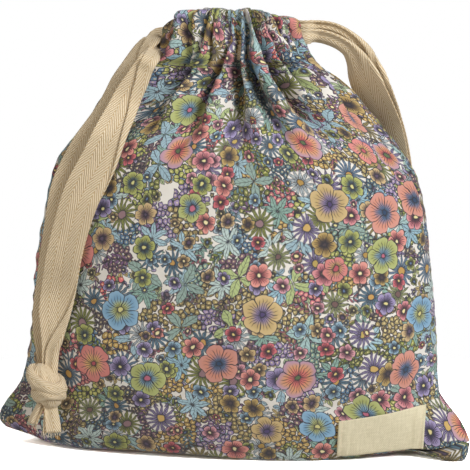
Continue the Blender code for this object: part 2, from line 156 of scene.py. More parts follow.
def valley_depth(z):
    """Depth of a full valley: shallow in the casing, where the tape is, and deepest under the stitches."""
    levels = (0.100, 0.130, 0.150, 0.168, 0.182, 0.1885, 0.1915, 0.196, 0.206, TUNNEL_ROOF, TOP)
    depths = (0.0030, 0.0065, 0.0110, 0.0155, 0.0180, 0.0170, 0.0145, 0.0115, 0.0095, 0.0085, 0.0070)
    return float(np.interp(z, levels, depths))


def soft_waves(place, z, seed, length, count):
    """Slow unevenness of the cloth, about -1 to 1, from a few crossing waves about that long."""
    draw = np.random.default_rng(seed)
    total = np.zeros_like(place)
    for _ in range(count):
        turn = draw.uniform(0, 2 * math.pi)
        long = length * draw.uniform(0.7, 1.5)
        start = draw.uniform(0, 2 * math.pi)
        total += np.sin(2 * math.pi * (place * math.cos(turn) + z * math.sin(turn)) / long + start)
    return total / math.sqrt(count)


def ring_of_cloth(z, inward):
    """The ring of cloth at this height: its reach to the left, right and front, its roundness, and how far
    it may be pushed in."""
    if z > BODY_HEIGHT:
        rise = (z - BODY_HEIGHT) / (TUNNEL_ROOF - BODY_HEIGHT)
        flare = 0.0070 * (1 - float(smooth(rise))) ** 1.5
        crest = 0.0066 * (1 - 0.3 * (z - BODY_HEIGHT) / (TOP - BODY_HEIGHT))
        round_over = float(np.clip((TOP - z) / (TOP - TUNNEL_ROOF), 0, 1)) ** 0.5
        offset = (0.0029 * round_over) * (1 - 2 * inward)
        wide = RING[0] + offset + (crest + flare) * (1 - inward) + flare * inward * 0.4
        deep = RING[1] + offset + (crest + flare / 2) * (1 - inward) + flare * inward * 0.2
        left = wide - (0.0012 + 0.85 * flare) * (1 - inward)
        right = wide - (0.0028 + 0.40 * flare) * (1 - inward)
        return left, right, deep, 0.5, crest + flare
    bulge = 0.0038 * float(smooth((z - 0.115) / 0.076)) ** 1.3
    wide = half_width(z) + bulge
    left, right = wide + corner_reach(z, False), wide + corner_reach(z, True)
    return left, right, half_depth(z) + bulge, sharpness(z), 0.0136


def cloth_row(z, back, inward):
    """One row of the cloth as points from the left seam to the right seam. inward is 0 outside and 1 for
    the hem that is turned in inside the casing."""
    in_casing = z > BODY_HEIGHT
    from_below, from_above = float(smooth((z - 0.176) / 0.010)), 1 - float(smooth((z - 0.197) / 0.009))
    blur = 0.0050 * from_below * from_above * (1 - inward)
    rings = [ring_of_cloth(z + blur * k, inward) for k in (-1, -0.5, 0, 0.5, 1)]
    left, right, deep, sharp, proud = np.mean(rings, axis=0)
    turn = np.linspace(0, math.pi, 1601)
    wide = np.where(turn < math.pi / 2, left, right)
    x = -wide * np.cos(turn)
    y = -deep * np.clip(1 - (x / wide) ** 2, 0, 1) ** sharp
    # the casing's ends stay open at the side seams
    slit = 0.0048 * float(smooth((z - 0.1925) / 0.003))
    if slit > 0:
        keep = y <= -slit
        x, y = x[keep], y[keep]
    run = np.concatenate([[0], np.cumsum(np.hypot(np.diff(x), np.diff(y)))])
    place = np.linspace(0, run[-1], 1201)
    x, y = np.interp(place, run, x), np.interp(place, run, y)
    share = place / run[-1]
    along = np.stack([np.gradient(x), np.gradient(y)], 1)
    along /= np.linalg.norm(along, axis=1)[:, None]
    out = np.stack([along[:, 1], -along[:, 0]], 1)
    # gathers
    push = np.zeros_like(share)
    aside = np.zeros_like(share)
    full = valley_depth(z) * (1 - 0.45 * inward)
    valleys = np.zeros_like(share)
    for k, (depth, width, lean, end, course) in enumerate(BACK_FOLDS if back else FRONT_FOLDS):
        fade = float(smooth((z - end) / max(0.186 - end, 0.015))) ** 0.8
        if fade <= 0:
            continue
        heights, places = zip(*reversed(course))
        middle = float(np.interp(z, heights, places)) + 0.003 * math.sin(140 * (z - 0.2) + 4.7 * k)
        spread = width * (0.0170 + 0.0090 * float(smooth((0.198 - z) / 0.014))) * (1 + 0.8 * (1 - fade))
        bell = np.exp(-((np.sqrt((share - middle) ** 2 + 0.0025**2) / spread) ** 1.35))
        cut = full * depth * fade * bell
        push -= cut
        valleys = np.maximum(valleys, depth * bell)
        aside += lean * cut
    # finer creases that run down with the gathers
    crease = float(smooth((z - 0.150) / 0.030))
    push += 0.00045 * crease * soft_waves(share * 0.2 * 0.5, z * 0.12, 21 + back, 0.0042, 6)
    if in_casing and inward < 0.5:  # the cloth can't pass the tape inside it
        push = np.maximum(push, -(0.0011 + proud))
    # a slight, uneven waist at the row of stitches
    tight = 0.0007 + 0.0004 * np.sin(share * 31 + 2 * back) * np.sin(share * 13 + 1)
    push -= tight * np.exp(-(((z - 0.1915 - 0.0006 * np.sin(share * 17)) / 0.0030) ** 2))
    # slow unevenness, small puckers along the side seams and a firm fold beside them on the shoulders
    ends = np.minimum(share, 1 - share) * run[-1]
    calm = smooth(ends / 0.02)
    flat_place = (share + (1.7 if back else 0)) * CLOTH_WIDTH
    body = float(smooth((z - 0.006) / 0.03))
    low = 1 - float(smooth((z - 0.16) / 0.03))
    push += calm * body * low * 0.0011 * soft_waves(flat_place, z, 11, 0.075, 5)
    push += calm * body * low * 0.00035 * soft_waves(flat_place, z, 5, 0.024, 7)
    pucker = np.exp(-ends / 0.009) * smooth(ends / 0.0025)
    gathered = np.sin(2 * math.pi * z / 0.0105 + 1.5 * np.sin(z * 90) + (2 if back else 0))
    push += 0.0007 * body * low * pucker * gathered
    shoulder = float(smooth((z - 0.095) / 0.035)) * (1 - float(smooth((z - 0.198) / 0.012)))
    fold = np.exp(-(((ends - 0.0130) / 0.0040) ** 2)) - 0.9 * np.exp(-(((ends - 0.0070) / 0.0026) ** 2))
    push += 0.0030 * shoulder * fold
    x = x + out[:, 0] * push + along[:, 0] * aside
    y = y + out[:, 1] * push + along[:, 1] * aside
    # the two layers meet in the seam
    if slit == 0:
        y = np.minimum(y, -0.00002)
        y[0] = y[-1] = 0.0
    place_share = share
    run = np.concatenate([[0], np.cumsum(np.hypot(np.diff(x), np.diff(y)))])
    even = np.linspace(0, run[-1], THREADS_ACROSS + 1)
    x, y = np.interp(even, run, x), np.interp(even, run, y)
    # an arched top edge, lower towards both ends of the casing, that dips a little in each valley
    old_share, share = np.interp(even, run, place_share), even / run[-1]
    right_drop = 0.0048 * np.maximum((share - 0.66) / 0.34, 0) ** 1.3
    arch = -0.0085 * np.maximum(1 - share / 0.19, 0) ** 1.7 - right_drop
    dips = np.interp(old_share, place_share, valleys)
    arch += (-0.0012 if back else 0) + 0.0006 * np.sin(19 * share + (2 if back else 0)) - 0.0011 * dips
    height = z + arch * float(smooth((z - BODY_HEIGHT) / (TOP - BODY_HEIGHT)))
    # the left corner curls up off the ground, and the whole left side stands a little clear of it
    places = (-0.1176, -0.1090, -0.1015, -0.0940, -0.0870, -0.0720, -0.0470, -0.0170, 0.0030, 0.0360)
    lifts = (0.0064, 0.0056, 0.0046, 0.0024, 0.0018, 0.0017, 0.0029, 0.0025, 0.0013, 0)
    lift = np.interp(x, places, lifts) * max(1 - z / 0.045, 0)
    # the right corner's gusset folds in between two lips: the lower one opens towards its end like a wedge
    base = np.interp(x, (0.0450, 0.0750, 0.0828, 0.0911, 0.1057, 0.1149),
        (0, 0.0018, 0.0027, 0.0025, 0.0004, 0.0004))
    mouth = np.interp(x, (0.0600, 0.0850, 0.0946, 0.0975, 0.1014, 0.1058, 0.1105, 0.1160, 0.1190),
                      (0, -0.0012, -0.0024, -0.0028, -0.0021, -0.0010, 0.0010, 0.0045, 0.0048))
    roof = np.minimum(mouth - 0.0021 * smooth((x - 0.080) / 0.015), -0.0008)
    lift = lift + sum(
        part * float(np.interp(z, (0, 0.0060, 0.0090, 0.0280), weights))
        for part, weights in ((base, (1, 0, 0, 0)), (mouth, (0, 1, 0, 0)), (roof, (0, 0, 1, 0)))
    )
    notch = float(np.interp(z, (0.0050, 0.0062, 0.0074, 0.0084, 0.0092), (0, 0.019, 0.029, 0.019, 0)))
    x = x - notch * np.clip((x - 0.080) / 0.037, 0, 1) ** 1.1
    if back:
        y = -y
    # that corner points to the front, its lower lip more than the upper one
    swing = float(np.interp(z, (0, 0.0050, 0.0080, 0.0110, 0.0500), (0.021, 0.021, 0.018, 0.017, 0)))
    y = y - swing * smooth((x - 0.084) / 0.031)
    return np.stack([x, y, height + lift], 1)


# Printed cotton lawn: a fine plain weave with a dense print of small flowers in many colours and dark
# outlines, drawn in real millimetres on the flat cloth. Its motifs are generic: blossoms, daisies, fans of
# leaves, sprigs and florets, each in cells of its own size, laid one layer over the other.
def linear(code):
    """An sRGB hex value as the linear colour that a shader takes."""
    parts = [int(code[i:i + 2], 16) / 255 for i in (1, 3, 5)]
    return (*[p / 12.92 if p <= 0.04045 else ((p + 0.055) / 1.055) ** 2.4 for p in parts], 1.0)


def feed(made, inputs):
    """Fills a node's inputs: with nodes or sockets to link, colours as hex, or plain values."""
    for key, source in inputs.items():
        socket = made.inputs[key]
        if isinstance(source, bpy.types.Node):
            source = next(s for s in source.outputs if s.enabled)
        if isinstance(source, bpy.types.NodeSocket):
            made.id_data.links.new(source, socket)
        else:
            socket.default_value = linear(source) if isinstance(source, str) else source


def node(tree, kind, *inputs, stops=(), **settings):
    """Adds a node: its kind with its operation (a Mix has a type of data instead), its inputs in order or
    by name, and its settings. stops are the even steps of a colour ramp."""
    kind, _, operation = kind.partition(" ")
    made = tree.nodes.new("ShaderNode" + kind)
    if operation:
        setattr(made, "data_type" if kind == "Mix" else "operation", operation)
    for key, value in settings.items():
        setattr(made, key, value)
    if stops:
        ramp = made.color_ramp
        ramp.interpolation = "CONSTANT"
        while len(ramp.elements) < len(stops):
            ramp.elements.new(1.0)
        for k, code in enumerate(stops):
            ramp.elements[k].position = k / len(stops)
            ramp.elements[k].color = linear(code)
    by_name = inputs and isinstance(inputs[0], dict)
    feed(made, inputs[0] if by_name else dict(enumerate(inputs)))
    return made


def node_group(name, takes, gives):
    """An empty group with those sockets: its tree, what it is given and the node for its results."""
    tree = bpy.data.node_groups.new(name, "ShaderNodeTree")
    for labels, way in ((takes, "INPUT"), (gives, "OUTPUT")):
        for label, kind in labels:
            tree.interface.new_socket(label, in_out=way, socket_type="NodeSocket" + kind)
    return tree, tree.nodes.new("NodeGroupInput").outputs, tree.nodes.new("NodeGroupOutput")


def new_material(name):
    """A new material, its tree of nodes and its shader."""
    material = bpy.data.materials.new(name)
    material.use_nodes = True
    return material, material.node_tree, material.node_tree.nodes["Principled BSDF"]


INK = "#37363C"  # the outlines
GROUND = "#DAD5CD"  # the bare cloth between the motifs

# a scatter of cells: where a motif's own middle is, how it is turned and how much room it has
scatter, given, result = node_group(
    "motif_cells",
    (("Place", "Vector"), ("Size", "Float"), ("Shift", "Float")),
    (("Local", "Vector"), ("Room", "Float"), ("Chance", "Float"), ("Choice", "Float")),
)
spot = node(scatter, "VectorMath ADD", given["Place"], given["Shift"])
density = node(scatter, "Math DIVIDE", 1.0, given["Size"])
cell = node(scatter, "TexVoronoi", {"Vector": spot, "Scale": density, "Randomness": 0.9},
    voronoi_dimensions="2D")
free = node(scatter, "TexVoronoi", {"Vector": spot, "Scale": density, "Randomness": 0.9},
    voronoi_dimensions="2D", feature="N_SPHERE_RADIUS")
away = node(scatter, "VectorMath SUBTRACT", spot, cell.outputs["Position"])
away = node(scatter, "VectorMath MULTIPLY", away, (1, 1, 0))
random = node(scatter, "SeparateColor", cell.outputs["Color"])
turn = node(scatter, "Math MULTIPLY", random.outputs[0], 6.2832)
local = node(scatter, "VectorRotate", {"Vector": away, "Angle": turn}, rotation_type="Z_AXIS")
room = node(scatter, "Math MULTIPLY", free.outputs["Radius"], given["Size"])
feed(result, {"Local": local, "Room": room, "Chance": random.outputs[1], "Choice": random.outputs[2]})

# a blossom, seen from above: petals with notches, veins, a tinted throat and rim, and a round middle
blossom, given, result = node_group(
    "blossom",
    (("Local", "Vector"), ("Radius", "Float"), ("Petals", "Float"), ("Notch", "Float"), ("Middle", "Float"),
     ("Petal", "Color"), ("Rim", "Color"), ("Throat", "Color"), ("Centre", "Color")),
    (("Colour", "Color"), ("Mask", "Float")),
)
xyz = node(blossom, "SeparateXYZ", given["Local"])
reach = node(blossom, "VectorMath LENGTH", given["Local"]).outputs["Value"]
angle = node(blossom, "Math ARCTAN2", xyz.outputs[1], xyz.outputs[0])
half = node(blossom, "Math MULTIPLY", given["Petals"], 0.5)
phase = node(blossom, "Math MULTIPLY", angle, half)
wave = node(blossom, "Math COSINE", phase)
lobe = node(blossom, "Math ABSOLUTE", wave)
rounded = node(blossom, "Math POWER", lobe, 0.45)
short = node(blossom, "Math SUBTRACT", 1.0, rounded)
short = node(blossom, "Math MULTIPLY", short, given["Notch"])
outer = node(blossom, "Math SUBTRACT", 1.0, short)
outer = node(blossom, "Math MULTIPLY", outer, given["Radius"])
inside_by = node(blossom, "Math SUBTRACT", outer, reach)
share = node(blossom, "Math DIVIDE", reach, outer)
to_rim = node(blossom, "MapRange", {"Value": share, "From Min": 0.55, "From Max": 1.0, "To Max": 0.9},
    interpolation_type="SMOOTHSTEP")
to_throat = node(blossom, "MapRange", {"Value": share, "From Min": 0.66, "From Max": 0.22},
    interpolation_type="SMOOTHSTEP")
tinted = node(blossom, "Mix RGBA", {0: to_rim, 6: given["Petal"], 7: given["Rim"]})
tinted = node(blossom, "Mix RGBA", {0: to_throat, 6: tinted, 7: given["Throat"]})
vein_wave = node(blossom, "Math MULTIPLY", phase, 5.0)
vein_wave = node(blossom, "Math COSINE", vein_wave)
vein_wave = node(blossom, "Math ABSOLUTE", vein_wave)
vein_off = node(blossom, "Math MULTIPLY", vein_wave, reach)
vein_off = node(blossom, "Math DIVIDE", vein_off, half)
vein = node(blossom, "MapRange", {"Value": vein_off, "From Min": 0.95, "From Max": 0.35, "To Max": 0.9})
vein_end = node(blossom, "MapRange", {"Value": share, "From Min": 0.80, "From Max": 0.66})
vein = node(blossom, "Math MULTIPLY", vein, vein_end)
gap_off = node(blossom, "Math MULTIPLY", lobe, reach)
gap_off = node(blossom, "Math DIVIDE", gap_off, half)
gap = node(blossom, "MapRange", {"Value": gap_off, "From Min": 0.30, "From Max": 0.15})
outline = node(blossom, "MapRange", {"Value": inside_by, "From Min": 0.50, "From Max": 0.34})
line = node(blossom, "Math MAXIMUM", gap, outline)
line = node(blossom, "Math MAXIMUM", line, vein)
from_middle = node(blossom, "Math SUBTRACT", reach, given["Middle"])
is_middle = node(blossom, "MapRange", {"Value": from_middle, "From Min": 0.08, "From Max": -0.08})
ring = node(blossom, "Math ABSOLUTE", from_middle)
ring = node(blossom, "MapRange", {"Value": ring, "From Min": 0.30, "From Max": 0.18, "To Max": 0.85})
drawn = node(blossom, "Mix RGBA", {0: line, 6: tinted, 7: INK})
drawn = node(blossom, "Mix RGBA", {0: is_middle, 6: drawn, 7: given["Centre"]})
drawn = node(blossom, "Mix RGBA", {0: ring, 6: drawn, 7: INK})
is_there = node(blossom, "MapRange", {"Value": inside_by, "From Min": 0.0, "From Max": 0.12})
feed(result, {"Colour": drawn, "Mask": is_there})

# a fan of pointed leaves about one point, each with its midrib and side veins
leaves, given, result = node_group(
    "leaf_fan",
    (("Local", "Vector"), ("Length", "Float"), ("Width", "Float"), ("Sector", "Float"), ("Green", "Color")),
    (("Colour", "Color"), ("Mask", "Float")),
)
xyz = node(leaves, "SeparateXYZ", given["Local"])
reach = node(leaves, "VectorMath LENGTH", given["Local"]).outputs["Value"]
angle = node(leaves, "Math ARCTAN2", xyz.outputs[1], xyz.outputs[0])
lower = node(leaves, "Math MULTIPLY", given["Sector"], -1.0)
angle = node(leaves, "Math WRAP", angle, given["Sector"], lower)
along = node(leaves, "Math MULTIPLY", node(leaves, "Math COSINE", angle), reach)
aside = node(leaves, "Math MULTIPLY", node(leaves, "Math SINE", angle), reach)
aside = node(leaves, "Math ABSOLUTE", aside)
share = node(leaves, "Math DIVIDE", along, given["Length"])
rest = node(leaves, "Math SUBTRACT", 1.0, share)
full = node(leaves, "Math MULTIPLY", share, rest)
full = node(leaves, "Math MULTIPLY", full, given["Width"])
inside_by = node(leaves, "Math MULTIPLY", full, 4.0)
inside_by = node(leaves, "Math SUBTRACT", inside_by, aside)
outline = node(leaves, "MapRange", {"Value": inside_by, "From Min": 0.42, "From Max": 0.26})
rib = node(leaves, "MapRange", {"Value": aside, "From Min": 0.20, "From Max": 0.08, "To Max": 0.9})
slant = node(leaves, "Math MULTIPLY_ADD", aside, -1.1, along)
slant = node(leaves, "Math PINGPONG", slant, 1.15)
side_vein = node(leaves, "MapRange", {"Value": slant, "From Min": 0.24, "From Max": 0.10, "To Max": 0.55})
line = node(leaves, "Math MAXIMUM", outline, rib)
line = node(leaves, "Math MAXIMUM", line, side_vein)
drawn = node(leaves, "Mix RGBA", {0: line, 6: given["Green"], 7: INK})
is_there = node(leaves, "MapRange", {"Value": inside_by, "From Min": 0.0, "From Max": 0.12})
feed(result, {"Colour": drawn, "Mask": is_there})

# a sprig: small leaves in pairs along a bent stem
sprig, given, result = node_group("sprig", (("Local", "Vector"), ("Reach", "Float"), ("Tint", "Color")),
    (("Colour", "Color"), ("Mask", "Float")))
xyz = node(sprig, "SeparateXYZ", given["Local"])
bend = node(sprig, "Math MULTIPLY", xyz.outputs[0], xyz.outputs[0])
aside = node(sprig, "Math MULTIPLY_ADD", bend, 0.035, xyz.outputs[1])
aside = node(sprig, "Math ABSOLUTE", aside)
slide = node(sprig, "Math MULTIPLY_ADD", aside, -0.85, xyz.outputs[0])
slide = node(sprig, "Math WRAP", slide, 1.2, -1.2)
slide = node(sprig, "Math DIVIDE", slide, 0.82)
slide = node(sprig, "Math MULTIPLY", slide, slide)
stand = node(sprig, "Math SUBTRACT", aside, 1.45)
stand = node(sprig, "Math DIVIDE", stand, 1.30)
stand = node(sprig, "Math MULTIPLY", stand, stand)
oval = node(sprig, "Math SQRT", node(sprig, "Math ADD", slide, stand))
length = node(sprig, "Math ABSOLUTE", xyz.outputs[0])
spare = node(sprig, "Math SUBTRACT", given["Reach"], length)
ends = node(sprig, "MapRange", {"Value": spare, "From Min": 0.0, "From Max": 0.15})
leaf = node(sprig, "MapRange", {"Value": oval, "From Min": 1.0, "From Max": 0.9})
stem = node(sprig, "MapRange", {"Value": aside, "From Min": 0.26, "From Max": 0.16})
both = node(sprig, "Math MAXIMUM", leaf, stem)
both = node(sprig, "Math MULTIPLY", both, ends)
line = node(sprig, "MapRange", {"Value": oval, "From Min": 0.62, "From Max": 0.80})
drawn = node(sprig, "Mix RGBA", {0: line, 6: given["Tint"], 7: INK})
feed(result, {"Colour": drawn, "Mask": both})

# the whole print
flora, given, result = node_group("floral_print", (), (("Colour", "Color"),))
flat_place = node(flora, "UVMap", uv_map="flat_cloth")
place = node(flora, "VectorMath SCALE", {0: flat_place, "Scale": 1000.0})
wobble = node(flora, "TexNoise", {"Vector": place, "Scale": 0.16, "Detail": 2.0, "Roughness": 0.6},
    noise_dimensions="2D")
wobble = node(flora, "VectorMath SUBTRACT", wobble.outputs["Color"], (0.5, 0.5, 0.5))
wobble = node(flora, "VectorMath SCALE", {0: wobble, "Scale": 2.6})
place = node(flora, "VectorMath ADD", place, wobble)

# clusters of florets, one in 2.7 mm, in patches of one colour
floret = node(flora, "TexVoronoi", {"Vector": place, "Scale": 1 / 2.7, "Randomness": 0.7},
    voronoi_dimensions="2D")
edge = node(flora, "TexVoronoi", {"Vector": place, "Scale": 1 / 2.7, "Randomness": 0.7},
    voronoi_dimensions="2D", feature="DISTANCE_TO_EDGE")
patch = node(flora, "TexVoronoi", {"Vector": floret.outputs["Position"], "Scale": 1 / 15.0},
    voronoi_dimensions="2D")
patch_random = node(flora, "SeparateColor", patch.outputs["Color"])
floret_random = node(flora, "SeparateColor", floret.outputs["Color"])
patch_colour = node(flora, "ValToRGB", patch_random.outputs[0], stops=("#7F8434", "#6A4F5E", "#B9484F",
    "#97994C", "#4F6F8C", "#A38440", "#6B6F3A", "#847299", "#8C7B4C", "#6E8A80", "#5E5354", "#B25F69",
    "#8B9146", "#47606E"))
floret_shade = node(flora, "MapRange", {"Value": floret_random.outputs[0], "To Min": 0.95, "To Max": 1.4})
floret_colour = node(flora, "HueSaturation", {"Color": patch_colour, "Value": floret_shade,
    "Saturation": 0.95})
eye = node(flora, "MapRange", {"Value": floret.outputs["Distance"], "From Min": 0.17, "From Max": 0.10,
    "To Max": 0.7})
floret_colour = node(flora, "Mix RGBA", {0: eye, 6: floret_colour, 7: "#E6D79A"})
ink_edge = node(flora, "MapRange", {"Value": edge.outputs["Distance"], "From Min": 0.11, "From Max": 0.06})
ink_round = node(flora, "MapRange", {"Value": floret.outputs["Distance"], "From Min": 0.40,
    "From Max": 0.47})
ink = node(flora, "Math MAXIMUM", ink_edge, ink_round)
floret_colour = node(flora, "Mix RGBA", {0: ink, 6: floret_colour, 7: INK})
is_floret = node(flora, "MapRange", {"Value": floret.outputs["Distance"], "From Min": 0.62,
    "From Max": 0.57})
is_patch = node(flora, "Math GREATER_THAN", patch_random.outputs[1], 0.19)
is_floret = node(flora, "Math MULTIPLY", is_floret, is_patch)


def laid_over(under, motif, cells, chance):
    """The print with one more layer over it: a motif in each cell whose random number is above chance."""
    there = node(flora, "Math GREATER_THAN", cells.outputs["Chance"], chance)
    there = node(flora, "Math MULTIPLY", there, motif.outputs["Mask"])
    return node(flora, "Mix RGBA", {0: there, 6: under, 7: motif.outputs["Colour"]})


# loose leaves and small blossoms on the ground, then the florets, then the larger motifs over them
cells = node(flora, "Group", place, 9.0, 31.0, node_tree=scatter)
green = node(flora, "ValToRGB", cells.outputs["Choice"], stops=("#9DBBC6", "#A9B98C", "#86A79B", "#B9A56A",
    "#8FA9B8", "#A8AE74"))
fan = node(flora, "Group", cells.outputs["Local"], 4.6, 1.15, 0.628, green, node_tree=leaves)
layer = node(flora, "Mix RGBA", {0: fan.outputs["Mask"], 6: GROUND, 7: fan.outputs["Colour"]})
cells = node(flora, "Group", place, 7.6, 521.0, node_tree=scatter)
wide = node(flora, "Math MINIMUM", cells.outputs["Room"], 3.2)
small_colours = (
    ("#A9A06A", "#8FA3B0", "#B9828A", "#9C8FB0", "#B8A070"),
    ("#C2BA86", "#A9B9C2", "#CC9A9C", "#B4A9C4", "#CCB88C"),
    ("#6E6A3E", "#587080", "#8C4C58", "#655A86", "#7E6440"),
    ("#DCCB90", "#E0D8B0", "#DCC070", "#DAD49C", "#5E5354"),
)
colours = [node(flora, "ValToRGB", cells.outputs["Choice"], stops=s) for s in small_colours]
small = node(flora, "Group", cells.outputs["Local"], wide, 5.0, 0.42, 0.55, *colours, node_tree=blossom)
layer = node(flora, "Mix RGBA", {0: small.outputs["Mask"], 6: layer, 7: small.outputs["Colour"]})
layer = node(flora, "Mix RGBA", {0: is_floret, 6: layer, 7: floret_colour})

cells = node(flora, "Group", place, 19.0, 83.0, node_tree=scatter)
tint = node(flora, "ValToRGB", cells.outputs["Choice"], stops=("#6D5B62", "#76587A", "#6F7A3A", "#8E5560",
    "#5F7D84"))
stem_reach = node(flora, "Math MULTIPLY", cells.outputs["Room"], 1.25)
twig = node(flora, "Group", cells.outputs["Local"], stem_reach, tint, node_tree=sprig)
layer = laid_over(layer, twig, cells, 0.25)

# fans of leaves: (cell size, shift, chance, length, width, half of the angle between leaves, greens)
for size, shift, chance, length, width, sector, greens in (
    (21.0, 141.0, 0.45, 9.0, 1.75, 0.449, ("#9DBBC6", "#8DB0BE", "#B4C6C2", "#86A79B")),
    (26.0, 197.0, 0.50, 11.0, 2.5, 0.785, ("#8CA39A", "#9CB9B8", "#A8B67A", "#94B0BC")),
):
    cells = node(flora, "Group", place, size, shift, node_tree=scatter)
    green = node(flora, "ValToRGB", cells.outputs["Choice"], stops=greens)
    fan = node(flora, "Group", cells.outputs["Local"], length, width, sector, green, node_tree=leaves)
    layer = laid_over(layer, fan, cells, chance)

# daisies, thin-petalled: (cell size, shift, chance, length, width, half angle, middle, petals, middles)
for size, shift, chance, length, width, sector, middle, petal, centre in (
    (19.0, 353.0, 0.66, 8.2, 0.85, 0.2417, 1.5, ("#5E7F93", "#8A7CA6", "#B9C4C8", "#6F8797", "#9AA06A"),
     ("#B98F48", "#B39A50", "#A8863F", "#C2A058", "#6E5552")),
    (25.0, 463.0, 0.64, 9.6, 0.84, 0.2094, 2.0, ("#8F9448", "#6A86A0", "#9C8C50", "#8A7CA6"),
     ("#8C6F74", "#B48C44", "#5E5354", "#C2A058")),
):
    cells = node(flora, "Group", place, size, shift, node_tree=scatter)
    tint, button = (node(flora, "ValToRGB", cells.outputs["Choice"], stops=s) for s in (petal, centre))
    fan = node(flora, "Group", cells.outputs["Local"], length, width, sector, tint, node_tree=leaves)
    out = node(flora, "VectorMath LENGTH", cells.outputs["Local"])
    from_middle = node(flora, "Math SUBTRACT", out.outputs["Value"], middle)
    is_button = node(flora, "MapRange", {"Value": from_middle, "From Min": 0.26, "From Max": 0.12})
    ring = node(flora, "MapRange", {"Value": from_middle, "From Min": -0.24, "From Max": -0.08})
    drawn = node(flora, "Mix RGBA", {0: ring, 6: button, 7: INK})
    drawn = node(flora, "Mix RGBA", {0: is_button, 6: fan.outputs["Colour"], 7: drawn})
    there = node(flora, "Math MAXIMUM", fan.outputs["Mask"], is_button)
    chosen = node(flora, "Math GREATER_THAN", cells.outputs["Chance"], chance)
    there = node(flora, "Math MULTIPLY", there, chosen)
    # the ground shows between the petals
    halo = node(flora, "MapRange", {"Value": out.outputs["Value"], "From Min": length * 0.78,
        "From Max": length * 0.72})
    halo = node(flora, "Math MULTIPLY", halo, chosen)
    layer = node(flora, "Mix RGBA", {0: halo, 6: layer, 7: GROUND})
    layer = node(flora, "Mix RGBA", {0: there, 6: layer, 7: drawn})

# blossoms: (cell size, shift, chance, radius, petals, notch, middle, petal, rim, throat and centre colours)
for size, shift, chance, radius, petals, notch, middle, petal, rim, throat, centre in (
    (10.5, 251.0, 0.50, 4.4, 5.0, 0.42, 0.75,
     ("#B89A68", "#9084AE", "#BC525A", "#979C52", "#7F9FB4", "#C28490"),
     ("#C6AE7C", "#A79CC0", "#C66C74", "#ABB06A", "#93AFC0", "#D29CA2"),
     ("#94743F", "#655A86", "#8C3C4A", "#676F3A", "#4F7592", "#984E60"),
     ("#DCCB90", "#DAD49C", "#DCC070", "#586E90", "#DAD18C", "#E2D4A4")),
    (15.0, 307.0, 0.48, 6.4, 6.0, 0.36, 1.0,
     ("#A3864A", "#CE7A72", "#8A7CA6", "#979A50", "#B99C6C", "#C27078"),
     ("#B79E62", "#D49486", "#9F94BA", "#ABB068", "#C8AE80", "#CE8E90"),
     ("#72593F", "#B24A55", "#5C507E", "#4C7282", "#7F566E", "#803F55"),
     ("#4A4044", "#DED09A", "#D2C684", "#CAC47C", "#58495E", "#DCCE90")),
    (27.0, 409.0, 0.47, 10.2, 5.0, 0.30, 1.35,
     ("#C98F62", "#6A95B4", "#CF8278", "#B59A64", "#C9836A", "#9CA15C"),
     ("#A98AA8", "#86AAC4", "#CC7672", "#C6AC78", "#C68A7E", "#ACB272"),
     ("#D0605E", "#AEB168", "#D8AE66", "#84749E", "#546F92", "#6A90AE"),
     ("#5A6A48", "#C6BE78", "#B04C58", "#4C4068", "#2F4460", "#B05E74")),
):
    cells = node(flora, "Group", place, size, shift, node_tree=scatter)
    wide = node(flora, "Math MINIMUM", cells.outputs["Room"], radius)
    colours = [node(flora, "ValToRGB", cells.outputs["Choice"], stops=s)
        for s in (petal, rim, throat, centre)]
    flower = node(flora, "Group", cells.outputs["Local"], wide, petals, notch, middle, *colours,
        node_tree=blossom)
    layer = laid_over(layer, flower, cells, chance)

layer = node(flora, "HueSaturation", {"Color": layer, "Saturation": 0.92, "Value": 1.04})
feed(result, {"Colour": layer})


def cotton_lawn(name, wash):
    """Lawn with the print at full strength, or washed out towards the ground colour as on its reverse. It
    is matt with a faint bloom of fibre ends. Real lawn has a thread every 0.25 mm. The two waves that stand
    for the weave are drawn far coarser, as soft ripples 5.7 mm apart."""
    material, tree, shader = new_material(name)
    printed = node(tree, "Group", node_tree=flora)
    where = node(tree, "UVMap", uv_map="flat_cloth")
    faded = node(tree, "Mix RGBA", {0: wash, 6: printed, 7: GROUND})
    uneven = node(tree, "TexNoise", {"Vector": where, "Scale": 24.0, "Detail": 3.0}, noise_dimensions="2D")
    uneven = node(tree, "MapRange", {"Value": uneven.outputs[0], "From Min": 0.3, "From Max": 0.7,
        "To Min": 0.95, "To Max": 1.04})
    dyed = node(tree, "HueSaturation", {"Color": faded, "Value": uneven})
    thread_scale = 1100 / 6.2832 / 3.2  # a ripple every 0.314 / scale of a metre
    weft, warp = (node(tree, "TexWave", {"Vector": where, "Scale": thread_scale, "Distortion": 1.2,
        "Detail": 2.0}, bands_direction=way) for way in "YX")
    weave = node(tree, "Math MULTIPLY", weft.outputs[1], warp.outputs[1])
    crumple = node(tree, "TexNoise", {"Vector": where, "Scale": 110.0, "Detail": 4.0, "Roughness": 0.6},
        noise_dimensions="2D")
    height = node(tree, "Math MULTIPLY_ADD", crumple.outputs[0], 2.2, weave)
    bump = node(tree, "Bump", {"Height": height, "Strength": 0.35, "Distance": 0.00035})
    rough = node(tree, "MapRange", {"Value": weave, "To Min": 0.86, "To Max": 0.95})
    feed(shader, {"Base Color": dyed, "Roughness": rough, "Normal": bump, "Sheen Weight": 0.10,
        "Sheen Roughness": 0.5, "Specular IOR Level": 0.25})
    return material


lawn_face = cotton_lawn("printed_cotton_lawn", 0.0)
lawn_reverse = cotton_lawn("printed_cotton_lawn_reverse", 0.62)


